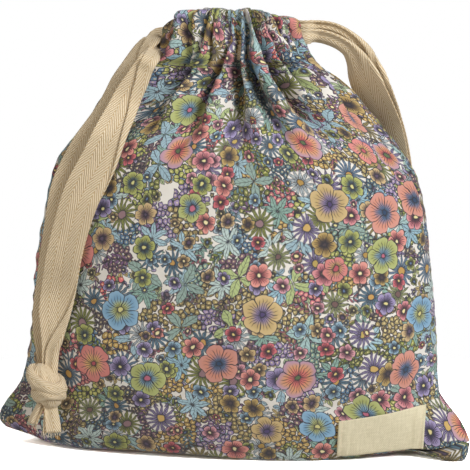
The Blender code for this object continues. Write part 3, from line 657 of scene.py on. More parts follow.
def shaped_grid(name, columns, rows, map_name, map_rows):
    """A flat grid whose rows of points are put on their places, with its map of the flat cloth."""
    bpy.ops.mesh.primitive_grid_add(x_subdivisions=columns, y_subdivisions=len(rows) - 1, size=1)
    made = bpy.context.object
    made.name = name
    flat = np.array([v.co for v in made.data.vertices])
    order = np.lexsort((flat[:, 0].round(5), flat[:, 1].round(5)))
    shaped = np.zeros_like(flat)
    shaped[order] = np.concatenate(rows)
    made.data.vertices.foreach_set("co", shaped.ravel())
    mapped = np.zeros((len(flat), 2))
    mapped[order] = np.concatenate(map_rows)
    corners = np.zeros(len(made.data.loops), int)
    made.data.loops.foreach_get("vertex_index", corners)
    made.data.uv_layers[0].name = map_name
    made.data.uv_layers[0].data.foreach_set("uv", mapped[corners].ravel())
    return made


def mend_mesh(join_ends=True):
    """Joins the points that meet and turns all faces outwards."""
    bpy.ops.object.mode_set(mode="EDIT")
    bpy.ops.mesh.select_all(action="SELECT")
    if join_ends:
        bpy.ops.mesh.remove_doubles(threshold=0.00001)
        bpy.ops.mesh.select_all(action="SELECT")
    bpy.ops.mesh.normals_make_consistent(inside=False)
    bpy.ops.object.mode_set(mode="OBJECT")


def dress(piece, material):
    """Puts the piece in its material, and in the pouch's frame."""
    piece.data.materials.clear()
    piece.data.materials.append(material)
    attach(piece, "root")


def thicken(piece, thickness, offset=0, material_offset=0):
    """Gives a smooth sheet of cloth its thickness."""
    bpy.ops.object.shade_smooth()
    bpy.ops.object.modifier_add(type="SOLIDIFY")
    solid = piece.modifiers[-1]
    solid.thickness = thickness
    solid.offset = offset
    solid.use_even_offset = False
    solid.material_offset = material_offset
    bpy.ops.object.modifier_apply(modifier=solid.name)


def joined_copies(name, pattern, shapes):
    """Copies of the pattern, each with its own mesh and its own points, joined to one piece."""
    made = []
    for points in shapes:
        copy = pattern.copy()
        copy.data = pattern.data.copy()
        bpy.context.scene.collection.objects.link(copy)
        copy.data.vertices.foreach_set("co", np.ravel(points))
        made.append(copy)
    bpy.data.objects.remove(pattern)
    bpy.ops.object.select_all(action="DESELECT")
    for copy in made:
        copy.select_set(True)
    bpy.context.view_layer.objects.active = made[0]
    bpy.ops.object.join()
    bpy.context.object.name = name
    return bpy.context.object


outside = np.concatenate([[0.0, 0.0009, 0.0020, 0.0032, 0.0043, 0.0050, 0.0056, 0.0062, 0.0069, 0.0076,
    0.0083, 0.0090, 0.0096, 0.0103], np.linspace(0.0114, 0.120, 52), np.linspace(0.1215, 0.2165, 60),
    [0.2176, 0.2184, 0.2189, TOP]])
inside = [0.2189, 0.2182, 0.2170, 0.2150, 0.2120, 0.2080, 0.2040, 0.2000, 0.1965, 0.1940, 0.1925]
front_rows = [cloth_row(z, False, 1.0) for z in reversed(inside)]
front_rows += [cloth_row(z, False, 0.0) for z in reversed(outside)]
back_rows = [cloth_row(z, True, 0.0) for z in outside] + [cloth_row(z, True, 1.0) for z in inside]
base_rows = []
for step in np.linspace(0, 1, 25)[1:-1]:
    row = front_rows[-1] * (1 - step) + back_rows[0] * step
    base_rows.append(row)
rows = [*front_rows, *base_rows, *back_rows]

# the flat map, in metres of cloth: across from seam to seam, and along by the mean length between the rows
steps = [np.median(np.linalg.norm(b - a, axis=1)[20:-20]) for a, b in zip(rows, rows[1:])]
down = np.concatenate([[0], np.cumsum(steps)])
columns = np.arange(THREADS_ACROSS + 1) / THREADS_ACROSS * CLOTH_WIDTH
flat_map = [[(across, along) for across in columns] for along in down]
body = shaped_grid("body_cloth", THREADS_ACROSS, rows, "flat_cloth", flat_map)
mend_mesh()
for lawn in (lawn_face, lawn_reverse):
    body.data.materials.append(lawn)
# the inner side takes the second material, the reverse
thicken(body, CLOTH_THICKNESS, offset=-1, material_offset=1)
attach(body, "root")
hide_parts("pouch_body")


# Drawstrings: two lengths of unbleached herringbone cotton tape, each once round the mouth inside the
# casing. A tape is folded along its middle in the casing and opens out flat as it hangs, its flap running
# out to one edge.
TAPE_WIDTH = 0.020
TAPE_THICKNESS = 0.0008
FOLDED_WIDTH = TAPE_WIDTH / 2 - 0.0002
FOLDED_THICKNESS = 0.0021
YARNS_ACROSS = 34  # columns of a tape's mesh

# Unbleached cotton tape in a herringbone twill of four 5 mm columns, its ribs 1 mm apart: matt and cream,
# with painted shade that turns it tan in the grooves and at the columns' edges, and a slightly hairy
# surface.
tape_material, tree, shader = new_material("herringbone_cotton_tape")
woven = node(tree, "UVMap", uv_map="along_tape")
woven = node(tree, "VectorMath SCALE", {0: woven, "Scale": 1000.0})
weave_jitter = node(tree, "TexNoise", {"Vector": woven, "Scale": 0.55, "Detail": 2.0},
    noise_dimensions="2D")
woven_at = node(tree, "SeparateXYZ", woven)
column = node(tree, "Math PINGPONG", woven_at.outputs[0], 5.0)
slope = node(tree, "Math MULTIPLY_ADD", column, 2.0, woven_at.outputs[1])
slope = node(tree, "Math MULTIPLY_ADD", weave_jitter.outputs[0], 0.7, slope)
rib = node(tree, "Math MULTIPLY", slope, 2.7318)  # one rib in 2.3 mm of length
rib = node(tree, "Math SINE", rib)
yarn = node(tree, "TexNoise", {"Vector": woven, "Scale": 2.2, "Detail": 3.0, "Roughness": 0.65},
    noise_dimensions="2D")
rib_height = node(tree, "Math MULTIPLY_ADD", yarn.outputs[0], 1.3, rib)
# the colour follows the ribs' height: cream on the ribs, with painted shade making the grooves tan
painted_groove_shade_mix = node(tree, "MapRange", {"Value": rib_height, "From Min": -0.35, "From Max": 1.55})
# painted shade along the groove at each column's edge, where the ribs turn
painted_turn_shade = node(tree, "Math SUBTRACT", column, 2.5)
painted_turn_shade = node(tree, "Math ABSOLUTE", painted_turn_shade)
painted_turn_shade = node(tree, "MapRange", {"Value": painted_turn_shade, "From Min": 2.2, "From Max": 2.5, "To Max": 0.35})
painted_groove_shade_mix = node(tree, "Math SUBTRACT", painted_groove_shade_mix, painted_turn_shade, use_clamp=True)
cotton = node(tree, "Mix RGBA", {0: painted_groove_shade_mix, 6: "#C5A980", 7: "#EADCC1"})
stain = node(tree, "TexNoise", {"Vector": woven, "Scale": 0.06, "Detail": 2.0}, noise_dimensions="2D")
stain = node(tree, "MapRange", {"Value": stain.outputs[0], "From Min": 0.3, "From Max": 0.7, "To Min": 0.94,
    "To Max": 1.03})
cotton = node(tree, "HueSaturation", {"Color": cotton, "Value": stain})
tape_bump = node(tree, "Bump", {"Height": rib_height, "Strength": 0.55, "Distance": 0.00022})
feed(shader, {"Base Color": cotton, "Normal": tape_bump, "Roughness": 0.9, "Sheen Weight": 0.12,
              "Sheen Roughness": 0.5, "Specular IOR Level": 0.2})

# Spun cotton thread, cream and fuzzy, for the loose yarns of the tape and the label's stitches
thread_material, tree, shader = new_material("spun_cotton_thread")
spun = node(tree, "TexCoord")
spun = node(tree, "TexNoise", {"Vector": spun.outputs["Object"], "Scale": 2500.0, "Detail": 2.0})
spun_colour = node(tree, "Mix RGBA", {0: spun.outputs[0], 6: "#CDB892", 7: "#F0E6CF"})
spun_bump = node(tree, "Bump", {"Height": spun.outputs[0], "Strength": 0.4, "Distance": 0.0001})
feed(shader, {"Base Color": spun_colour, "Normal": spun_bump, "Roughness": 0.9, "Sheen Weight": 0.2})


cloth_tree = BVHTree.FromObject(body, bpy.context.evaluated_depsgraph_get())


def cloth_depth(x, z, face):
    """How far the cloth stands out from the seam plane here, on the front (face -1) or the back (face 1)."""
    hit = cloth_tree.ray_cast(Vector((x, face * 0.3, z)), Vector((0, -face, 0)))[0]
    if hit is None or hit.y * face < 0:
        return 0.0
    return hit.y * face


def through(rows, spacing):
    """A smooth curve through the rows, as new rows about spacing apart."""
    rows = [np.array(row, float) for row in rows]
    rows = [2 * rows[0] - rows[1], *rows, 2 * rows[-1] - rows[-2]]
    found = []
    for before, start, end, after in zip(rows, rows[1:], rows[2:], rows[3:]):
        count = max(1, round(float(np.linalg.norm(end[:3] - start[:3])) / spacing))
        for k in range(count):
            t = k / count
            bend = 2 * before - 5 * start + 4 * end - after
            twist = 3 * start - before - 3 * end + after
            found.append(0.5 * (2 * start + (end - before) * t + bend * t**2 + twist * t**3))
    return [*found, rows[-2]]


def strand_rows(points, side, face, clear, leans):
    """The hanging stretch of a strand, laid on the cloth of the front (face -1) or back (face 1), as rows
    of place, facing, how far the tape has opened and how far it keeps its width where it bunches up for the
    knot. It leans with the pouch's side and bridges small hollows."""
    flat = through([(x, 0, z, opened, kept) for x, z, opened, kept in points], ROW_SPACING)
    depths, facings = [], []
    for i, row in enumerate(flat):
        along = Vector(flat[min(i + 1, len(flat) - 1)][:3] - flat[max(i - 1, 0)][:3]).normalized()
        inner = Vector((along.z, 0, -along.x))
        if inner.x * side > 0:
            inner.negate()
        opened = min(max(row[3], 0), 1)
        width = FOLDED_WIDTH + (TAPE_WIDTH - FOLDED_WIDTH) * opened
        low, high = leans[1], leans[0]
        lean = math.radians(float(np.interp(row[2], (0.050, 0.080, 0.130, 0.170), (0, low, low, high))))
        depth = 0.0
        for share in (-0.5, -0.25, 0, 0.25, 0.5):
            place = inner * (share * width * math.cos(lean))
            cloth = cloth_depth(row[0] + place.x, row[2] + place.z, face)
            depth = max(depth, cloth - share * width * math.sin(lean))
        depths.append(depth)
        across = inner * math.cos(lean) + Vector((0, face * math.sin(lean), 0))
        facing = across.cross(along)
        if facing.y * face < 0:
            facing.negate()
        facings.append(facing)
    depths = np.array(depths)
    near = np.array([depths[max(i - 4, 0): i + 5].max() for i in range(len(depths))])
    kernel = np.ones(9) / 9
    level = np.convolve(np.pad(near, 4, mode="edge"), kernel, mode="valid")
    return [
        [row[0], face * (level[i] + clear), row[2], *facings[i], min(max(row[3], 0), 1), min(row[4], 1)]
        for i, row in enumerate(flat)
    ]


def tape_ribbon(name, rows, crease, start_length, ripple):
    """Sweeps the tape along the rows. crease is the edge, -1 or 1, that its flap is folded over at."""
    rows = [np.array(row, float) for row in rows]
    run = np.concatenate([[0], np.cumsum([np.linalg.norm(b[:3] - a[:3]) for a, b in zip(rows, rows[1:])])])
    width_place = np.linspace(0, TAPE_WIDTH, YARNS_ACROSS + 1)
    points = []
    for i, row in enumerate(rows):
        along = Vector(rows[min(i + 1, len(rows) - 1)][:3] - rows[max(i - 1, 0)][:3]).normalized()
        across = along.cross(Vector(row[3:6])).normalized() * crease
        face = Vector(row[3:6]) - along * along.dot(Vector(row[3:6]))
        face.normalize()
        flap = (1 - row[6]) * TAPE_WIDTH / 2
        base = TAPE_WIDTH - flap
        gap = 0.00105 * min(flap / 0.0015, 1)
        turn = 0.0007
        over = width_place - base
        aside = base / 2 + turn - np.sqrt(over**2 + turn**2)
        up = gap / 2 * np.tanh(over / turn)
        up = up + 0.0016 * (1 - row[7]) * np.sin(width_place / 0.0011 + 1.3)
        aside = aside * row[7]
        # the tape is never quite flat: its edges curl a little and it waves along its length
        up = up + ripple * np.sin(run[i] / 0.0135 + 1.7 * crease) * (aside / 0.01) * row[6]
        up = up + 0.35 * ripple * np.sin(run[i] / 0.0052 + 0.6) * row[6]
        centre = np.array(row[:3])
        points.append(centre + np.outer(aside, across) + np.outer(up, face))
    tape_map = [[(across, start_length + along) for across in width_place] for along in run]
    tape = shaped_grid(name, YARNS_ACROSS, points, "along_tape", tape_map)
    thicken(tape, TAPE_THICKNESS)
    dress(tape, tape_material)
    return tape, float(run[-1])


def exit_rows(side, level, front, kept):
    """The places in the slit where a strand turns from the ring to the outside."""
    facing = (0, -1, 0) if front else (0, 1, 0)
    near = (FOLDED_THICKNESS / 2 + 0.0006) * (-1 if front else 1)
    reach = RING[0]
    return [
        [side * (reach + 0.0006), 2.0 * near, level, *facing, 0, kept],
        [side * (reach + 0.0035), 1.15 * near, level, *facing, 0, kept],
        [side * (reach + 0.0070), near, level, *facing, 0, kept],
    ]


def ring_rows(side, levels):
    """The stretch in the casing, from the front exit round to the back exit, squeezed a little."""
    rows = []
    for turn in np.linspace(18, 342, 40):
        level = float(np.interp(turn, (18, 60, 300, 342), (levels[0], levels[1], levels[1], levels[2])))
        angle = math.radians(turn)
        # past the other tape's way out
        inset = 0.0028 * math.exp(-((turn - 180) / 17) ** 2) * (1 + side) / 2
        place = (side * (RING[0] - inset) * math.cos(angle), -RING[1] * math.sin(angle), level)
        outer = Vector((side * math.cos(angle) / RING[0], -math.sin(angle) / RING[1], 0)).normalized()
        rows.append([*place, *outer, 0, 0.74])
    return rows


KNOT_PLACES = {-1: -0.0895, 1: 0.0865}  # how far to the left and right the knots hang
KNOT_TOP = 0.0392
KNOT_MIDDLE = 0.0353
TAILS_TOP = 0.0360
ROW_SPACING = 0.0015  # between the rows of a strand's mesh
# heights of the tape at its front exit, in the ring and at its back exit
LEFT_LEVELS = (0.2000, 0.1986, 0.2052)
RIGHT_LEVELS = (0.2048, 0.2066, 0.2096)
# each strand's way: places aside and up, how far it has opened out flat, and how much of its width it keeps
LEFT_OVER = (
    (-0.0393, 0.1955, 0.08, 0.88), (-0.0428, 0.1902, 0.16, 0.92), (-0.0456, 0.1848, 0.28, 0.96),
    (-0.0500, 0.1769, 0.42, 1.00), (-0.0543, 0.1664, 0.60, 1.00), (-0.0619, 0.1482, 0.85, 1.00),
    (-0.0705, 0.1308, 1.00, 1.00), (-0.0771, 0.1118, 1.00, 1.00), (-0.0822, 0.0892, 0.95, 1.00),
    (-0.0850, 0.0740, 0.75, 1.00), (-0.0866, 0.0600, 0.30, 0.90), (-0.0880, 0.0500, 0.08, 0.72),
)
LEFT_UNDER = (
    (-0.0400, 0.2035, 0.10, 0.94), (-0.0455, 0.1978, 0.30, 1.00), (-0.0497, 0.1909, 0.50, 1.00),
    (-0.0546, 0.1831, 0.60, 1.00), (-0.0586, 0.1748, 0.65, 1.00), (-0.0632, 0.1659, 0.75, 1.00),
    (-0.0690, 0.1545, 0.90, 1.00), (-0.0770, 0.1354, 1.00, 1.00), (-0.0820, 0.1130, 1.00, 1.00),
    (-0.0855, 0.0900, 1.00, 1.00), (-0.0885, 0.0740, 0.85, 1.00), (-0.0908, 0.0600, 0.45, 0.90),
    (-0.0908, 0.0500, 0.25, 0.72),
)
RIGHT_OVER = (
    (0.0398, 0.2102, 0.05, 0.58), (0.0476, 0.2094, 0.05, 0.56), (0.0540, 0.2066, 0.08, 0.56),
    (0.0590, 0.2026, 0.15, 0.58), (0.0628, 0.1978, 0.35, 0.66), (0.0652, 0.1916, 0.70, 0.82),
    (0.0672, 0.1840, 0.95, 0.97), (0.0698, 0.1760, 1.00, 1.00), (0.0724, 0.1670, 1.00, 1.00),
    (0.0757, 0.1545, 1.00, 1.00), (0.0785, 0.1380, 1.00, 1.00), (0.0815, 0.1170, 1.00, 1.00),
    (0.0840, 0.0930, 1.00, 1.00), (0.0850, 0.0740, 0.75, 1.00), (0.0852, 0.0600, 0.30, 0.90),
    (0.0856, 0.0500, 0.08, 0.72),
)
RIGHT_UNDER = (
    (0.0405, 0.2052, 0.05, 0.76), (0.0472, 0.2037, 0.05, 0.76), (0.0529, 0.2009, 0.08, 0.76),
    (0.0572, 0.1974, 0.20, 0.80), (0.0602, 0.1926, 0.50, 0.88), (0.0633, 0.1858, 0.88, 0.98),
    (0.0672, 0.1764, 1.00, 1.00), (0.0711, 0.1662, 1.00, 1.00), (0.0747, 0.1545, 1.00, 1.00),
    (0.0775, 0.1370, 1.00, 1.00), (0.0800, 0.1160, 1.00, 1.00), (0.0825, 0.0930, 1.00, 1.00),
    (0.0855, 0.0740, 0.85, 1.00), (0.0878, 0.0600, 0.45, 0.90), (0.0878, 0.0500, 0.25, 0.72),
)
strands = {}
for name, points, side, face, clear, front, level, crease, leans in (
    ("tape_left_over", LEFT_OVER, -1, -1, 0.0035, True, LEFT_LEVELS[0], -1, (4, 16)),
    ("tape_left_under", LEFT_UNDER, -1, -1, 0.0007, False, LEFT_LEVELS[2], -1, (42, 18)),
    ("tape_right_over", RIGHT_OVER, 1, 1, 0.0033, False, RIGHT_LEVELS[2], 1, (30, 18)),
    ("tape_right_under", RIGHT_UNDER, 1, 1, 0.0009, True, RIGHT_LEVELS[0], 1, (30, 18)),
):
    hanging = strand_rows(points, side, face, clear, leans)
    leaving = exit_rows(side, level, front, points[0][3])
    if leaving[0][4] * hanging[0][4] < 0:  # the back strand of a front knot turns its other face out
        for row in leaving:
            row[4] = -row[4]
    knot_top = [*hanging[-1]]
    knot_top[0] = KNOT_PLACES[side] + side * (-0.0012 if name.endswith("over") else 0.0010)
    knot_top[2] = KNOT_TOP
    rows = through([*leaving, *hanging[::4], knot_top], ROW_SPACING)
    tape, length = tape_ribbon(name, rows, crease, start_length=0.14, ripple=0.0007)
    strands[name] = (tape, length, rows)
for side, levels, name in ((-1, LEFT_LEVELS, "tape_left_ring"), (1, RIGHT_LEVELS, "tape_right_ring")):
    front_exit = exit_rows(side, levels[0], True, 0.80)[0]
    back_exit = exit_rows(side, levels[2], False, 0.80)[0]
    rows = through([front_exit, *ring_rows(side, levels), back_exit], 0.0025)
    tape_ribbon(name, rows, crease=1, start_length=0, ripple=0.0)


# Knots: both strands of a tape are tied together in one overhand knot, pulled tight, and its two short ends
# fray out. The knot is a wad of folded tape with one turn drawn slanting across it and another under that.
KNOT_SIZE = (0.0081, 0.0066, 0.0119)


def knot_surface(way, side):
    """Where the wad's surface lies that way from its middle: an egg, slim at its foot, that leans out."""
    foot = max(-way[2], 0)
    sizes = (KNOT_SIZE[0] * (1 - 0.04 * foot**2), KNOT_SIZE[1], KNOT_SIZE[2])
    reach = 1 / math.sqrt(sum((way[k] / sizes[k]) ** 2 for k in range(3)))
    return reach * Vector(way) + Vector((side * 0.0022 * way[2], 0, 0))


def wad(name, place, side):
    """The heart of the knot: a rounded lump with soft creases, mapped so that its ribs run downwards."""
    bpy.ops.mesh.primitive_uv_sphere_add(segments=64, ring_count=40, radius=1)
    lump = bpy.context.object
    lump.name = name
    co = np.array([v.co for v in lump.data.vertices])
    way = np.arctan2(co[:, 1], co[:, 0])
    creases = 0.05 * np.sin(9 * way + 3 * co[:, 2]) + 0.03 * np.sin(17 * co[:, 0] + 8 * co[:, 2])
    swell = 0.97 + creases * (1 - co[:, 2] ** 2)
    co = np.array([knot_surface(way, side) * much for way, much in zip(co, swell)]) + place
    lump.data.vertices.foreach_set("co", co.ravel())
    for loop, corner in zip(lump.data.loops, lump.data.uv_layers[0].data):
        x, y, z = co[loop.vertex_index] - place
        corner.uv = (0.01 + 0.012 * math.atan2(y, x) / 1.6, z)
    lump.data.uv_layers[0].name = "along_tape"
    bpy.ops.object.shade_smooth()
    dress(lump, tape_material)
    return lump


def turn_round(name, place, side, tilt, nod, middle, width, lift, seed):
    """One turn of the folded tape round the wad: a band that hugs it, slanting by tilt and nod."""
    normal = Vector((math.sin(tilt), math.sin(nod), math.cos(tilt) * math.cos(nod))).normalized()
    first = normal.orthogonal().normalized()
    second = normal.cross(first)
    around, across = 96, 14
    draw = np.random.default_rng(seed)
    phases = draw.uniform(0, 6.28, 4)
    rows, map_rows = [], []
    for i in range(around + 1):
        angle = 2 * math.pi * i / around
        rows.append([])
        map_rows.append([])
        for j in range(across + 1):
            t = (j / across - 0.5) * width * (1 + 0.10 * math.sin(2 * angle + phases[0])) + middle
            t += 0.05 * math.sin(angle + phases[1])
            way = (first * math.cos(angle) + second * math.sin(angle) + normal * t).normalized()
            edge = abs(j / across - 0.5) * 2
            uneven = 0.00035 * math.sin(5 * angle + phases[2] + 4 * t) * (1 - edge)
            crown = lift * (1 - 1.25 * edge**3) + uneven
            rows[i].append(tuple(place + knot_surface(way, side) + way * crown))
            map_rows[i].append((j / across * 0.010, angle * 0.0085))
    band = shaped_grid(name, across, rows, "along_tape", map_rows)
    mend_mesh()
    thicken(band, 0.0010)
    dress(band, tape_material)
    return band


def frayed_end(name, rows, count, seed):
    """The loose threads at a cut end: short fine tubes that carry on from the last row of the tail."""
    last, before = np.array(rows[-1], float), np.array(rows[-4], float)
    along = Vector(last[:3] - before[:3]).normalized()
    across = along.cross(Vector(last[3:6])).normalized()
    face = across.cross(along)
    draw = np.random.default_rng(seed)
    width = (TAPE_WIDTH - (1 - last[6]) * TAPE_WIDTH / 2) * last[7]
    bpy.ops.mesh.primitive_cylinder_add(vertices=5, radius=1, depth=1, end_fill_type="TRIFAN")
    thread = bpy.context.object
    shape = np.array([v.co for v in thread.data.vertices])
    shapes = []
    for k in range(count):
        place = (k + draw.uniform(0.2, 0.8)) / count - 0.5
        start = Vector(last[:3]) + across * (place * width) + face * draw.uniform(-0.0004, 0.0004)
        way = along + across * (place * 0.5 + draw.uniform(-0.35, 0.35)) + face * draw.uniform(-0.25, 0.25)
        way.normalize()
        length = draw.uniform(0.0012, 0.0034)
        side = way.orthogonal().normalized()
        other = way.cross(side)
        radius = 0.00017
        rooted = 0.0006  # how deep a thread starts inside the tape
        new = []
        for x, y, z in shape:
            reach = z + 0.5
            thin = radius * (1 - 0.5 * reach)
            middle = start - way * rooted + way * (reach * (length + rooted))
            point = middle + side * (x * thin) + other * (y * thin)
            new.extend(point)
        shapes.append(new)
    fringe = joined_copies(name, thread, shapes)
    dress(fringe, thread_material)
    return fringe


def tie(name, over, under, side, face, crease):
    """One knot with its turns and tails, at the foot of its two strands."""
    strand_over, length_over, rows_over = strands[over]
    strand_under, length_under, rows_under = strands[under]
    x = KNOT_PLACES[side]
    y = (rows_over[-1][1] + rows_under[-1][1]) / 2 + face * 0.0016
    place = Vector((x, y, KNOT_MIDDLE))
    made = [wad(name + "_heart", place, side)]
    made.append(turn_round(name + "_turn", place, side, math.radians(24) * -side, math.radians(10) * face,
                           middle=0.46, width=1.00, lift=0.0016, seed=3))
    made.append(turn_round(name + "_loop", place, side, math.radians(-8) * -side, math.radians(-8) * face,
                           middle=-0.70, width=1.10, lift=0.0008, seed=5))
    # the tails as steps aside, out and down, how far they open and how much of their width they keep
    tails = (
        ((0.0010, 0.0002, -0.0060, 0.00, 0.50), (0.0016, 0.0008, -0.0110, 0.00, 0.66),
         (0.0020, 0.0014, -0.0170, 0.04, 0.78), (0.0022, 0.0016, -0.0238, 0.08, 0.88)),
        ((-0.0006, -0.0002, -0.0062, 0.0, 0.34), (-0.0030, 0.0002, -0.0110, 0.0, 0.40),
         (-0.0056, 0.0006, -0.0160, 0.0, 0.42), (-0.0072, 0.0008, -0.0196, 0.0, 0.46)),
    )
    for k, tail in enumerate(tails):
        rows = []
        for dx, dy, dz, opened, kept in tail:
            rows.append([x - side * dx, y + face * dy, TAILS_TOP + dz, -side * 0.25, face * 0.97, 0.05,
                opened, kept])
        rows = through(rows, 0.0011)
        folded = crease * (1 if k == 0 else -1)
        ribbon, _ = tape_ribbon(f"{name}_tail_{k}", rows, folded, start_length=0.4, ripple=0.0004)
        made.append(ribbon)
        made.append(frayed_end(f"{name}_fringe_{k}", rows, count=20 - 8 * k, seed=7 + k))
    for strand, length, rows, pieces in (
        (strand_over, length_over, rows_over, made[:4]),
        (strand_under, length_under, rows_under, made[4:]),
    ):
        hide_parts("drawstring_left" if side < 0 else "drawstring_right")


tie("knot_left", "tape_left_over", "tape_left_under", -1, -1, -1)
tie("knot_right", "tape_right_over", "tape_right_under", 1, 1, 1)


# Label: a blank strip of cream cotton canvas with slubby threads, its two short ends folded under and sewn
# down to the front. It lies loosely between its two rows of stitches, so its middle stands a little off the
# cloth. Its weave of 0.4 mm is drawn at 0.9 mm so that it shows, and its colour is darker where the surface
# lies lower: partly the slubby yarn's own tone, partly painted shade in the hollows of the weave.
canvas, tree, shader = new_material("cream_cotton_canvas")
canvas_at = node(tree, "UVMap", uv_map="label_canvas")
canvas_at = node(tree, "VectorMath SCALE", {0: canvas_at, "Scale": 1000.0})
slubs = []
for stretch in ((0.25, 1.15, 1), (1.15, 0.25, 1)):
    streaks = node(tree, "VectorMath MULTIPLY", canvas_at, stretch)
    slubs.append(node(tree, "TexNoise", {"Vector": streaks, "Scale": 0.9, "Detail": 3.0},
        noise_dimensions="2D"))
canvas_xy = node(tree, "SeparateXYZ", canvas_at)
threads = []
for side_way in (0, 1):
    wave = node(tree, "Math MULTIPLY", canvas_xy.outputs[side_way], 6.98)  # one thread in 0.9 mm
    threads.append(node(tree, "Math SINE", wave))
basket = node(tree, "Math MULTIPLY", *threads)
unevenness = node(tree, "Math ADD", slubs[0].outputs[0], slubs[1].outputs[0])
canvas_height = node(tree, "Math MULTIPLY_ADD", unevenness, 2.2, basket)
# colour darker where the surface lies lower: the slubby yarn's own tone and painted shade in the weave's
# hollows
slub_tone_and_weave_shade = node(tree, "MapRange", {"Value": canvas_height, "From Min": 0.8, "From Max": 3.6})
cream = node(tree, "Mix RGBA", {0: slub_tone_and_weave_shade, 6: "#CCC2A2", 7: "#E4DBBF"})
canvas_bump = node(tree, "Bump", {"Height": canvas_height, "Strength": 0.5, "Distance": 0.00012})
feed(shader, {"Base Color": cream, "Normal": canvas_bump, "Roughness": 0.92, "Sheen Weight": 0.1,
              "Specular IOR Level": 0.2})

# two below, two above
LABEL_CORNERS = ((0.0529, 0.0030), (0.0953, 0.0052), (0.0538, 0.0213), (0.0960, 0.0262))
LABEL_SIZE = (0.044, 0.020)
LABEL_THICKNESS = 0.0005
LABEL_LIFT = 0.0004  # off the cloth
HEM_LIFT = 0.00045  # more where the ends are folded under
SEAM_INSET = 0.0018  # from the end to the row of stitches
SEAM_DIP = 0.00035  # how far the stitches pull it down
LABEL_STITCHES = 9  # at each end


def on_front(x, z, off):
    """The place on the pouch's front at x and z, that far off the cloth, and the way the cloth faces."""
    found = [cloth_tree.ray_cast(Vector((x, -0.3, z + up)), Vector((0, 1, 0)))
        for up in (0, 0.0015, 0.0030)]
    # it bridges the hollow between the corner's lips
    place, facing = min(found, key=lambda hit: hit[0].y)[:2]
    return Vector((x, place.y, z)) + facing * off, facing


def label_place(across, up, off):
    """The place on the label, with across and up from 0 to 1."""
    x, z = (
        (1 - up) * ((1 - across) * LABEL_CORNERS[0][k] + across * LABEL_CORNERS[1][k])
        + up * ((1 - across) * LABEL_CORNERS[2][k] + across * LABEL_CORNERS[3][k])
        for k in (0, 1)
    )
    return on_front(x, z, off)


label_columns, label_rows = 66, 30
bpy.ops.mesh.primitive_grid_add(x_subdivisions=label_columns, y_subdivisions=label_rows, size=1)
label = bpy.context.object
label.name = "label_strip"
label_map = []
for v in label.data.vertices:
    across, up = v.co.x + 0.5, v.co.y + 0.5
    label_map.append((across * LABEL_SIZE[0], up * LABEL_SIZE[1]))
    from_end = min(across, 1 - across) * LABEL_SIZE[0]
    from_side = min(up, 1 - up) * LABEL_SIZE[1]
    doubled = HEM_LIFT * (1 - float(smooth((from_end - 0.0050) / 0.0012)))  # the ends are folded under
    swell = 0.75 + 0.25 * math.sin(9 * across + 4 * up)
    loose = 0.0007 * float(smooth((from_end - 0.0020) / 0.008)) * swell
    sewn = SEAM_DIP * math.exp(-(((from_end - SEAM_INSET) / 0.0007) ** 2))
    rounded = 0.00030 * (1 - min(from_end / 0.0006, 1)) ** 2
    waver = 0.00012 * math.sin(31 * across) * math.exp(-from_side / 0.002)
    v.co, _ = label_place(across, up + waver * 6, LABEL_LIFT + doubled + loose - sewn - rounded)
for loop, corner in zip(label.data.loops, label.data.uv_layers[0].data):
    corner.uv = label_map[loop.vertex_index]
label.data.uv_layers[0].name = "label_canvas"
mend_mesh(join_ends=False)
if label.data.polygons[0].normal.y > 0:
    label.data.flip_normals()
thicken(label, LABEL_THICKNESS)
dress(label, canvas)
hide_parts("label")


# Stitches: machine sewing, in cream thread on the label and in grey on the casing. Each stitch is a short
# run of thread that bows between the two holes it goes down into. One is modelled, and copied along both
# seams.
THREAD_RADIUS = 0.00019


def stitch_row(name, places, thread):
    """A row of stitches through the places, given as pairs of a point and the way the cloth faces there."""
    bpy.ops.mesh.primitive_cylinder_add(vertices=5, radius=1, depth=1)
    pattern = bpy.context.object
    bpy.ops.object.mode_set(mode="EDIT")
    bpy.ops.mesh.select_all(action="SELECT")
    bpy.ops.mesh.bisect(plane_co=(0, 0, 0), plane_no=(0, 0, 1))
    bpy.ops.object.mode_set(mode="OBJECT")
    shape = np.array([v.co for v in pattern.data.vertices])
    shapes = []
    for (start, facing), (end, _) in zip(places[::2], places[1::2]):
        along = end - start
        aside = along.normalized().cross(facing).normalized()
        new = []
        for x, y, z in shape:
            bow = 0.00016 * (1 - (2 * z) ** 2) - 0.00010
            middle = start + along * (z + 0.5)
            new.extend(middle + aside * (x * THREAD_RADIUS) + facing * (y * THREAD_RADIUS + bow))
        shapes.append(new)
    row = joined_copies(name, pattern, shapes)
    mend_mesh(join_ends=False)
    dress(row, thread)
    return row


# Mercerised sewing thread in a soft grey that hardly shows on the print: smoother than the tape's own yarn
sewing_thread, tree, shader = new_material("sewing_thread")
strand_at = node(tree, "TexCoord")
ply = node(tree, "TexNoise", {"Vector": strand_at.outputs["Object"], "Scale": 2500.0, "Detail": 2.0})
grey = node(tree, "Mix RGBA", {0: ply.outputs[0], 6: "#6F6D67", 7: "#A19E95"})
feed(shader, {"Base Color": grey, "Roughness": 0.6})

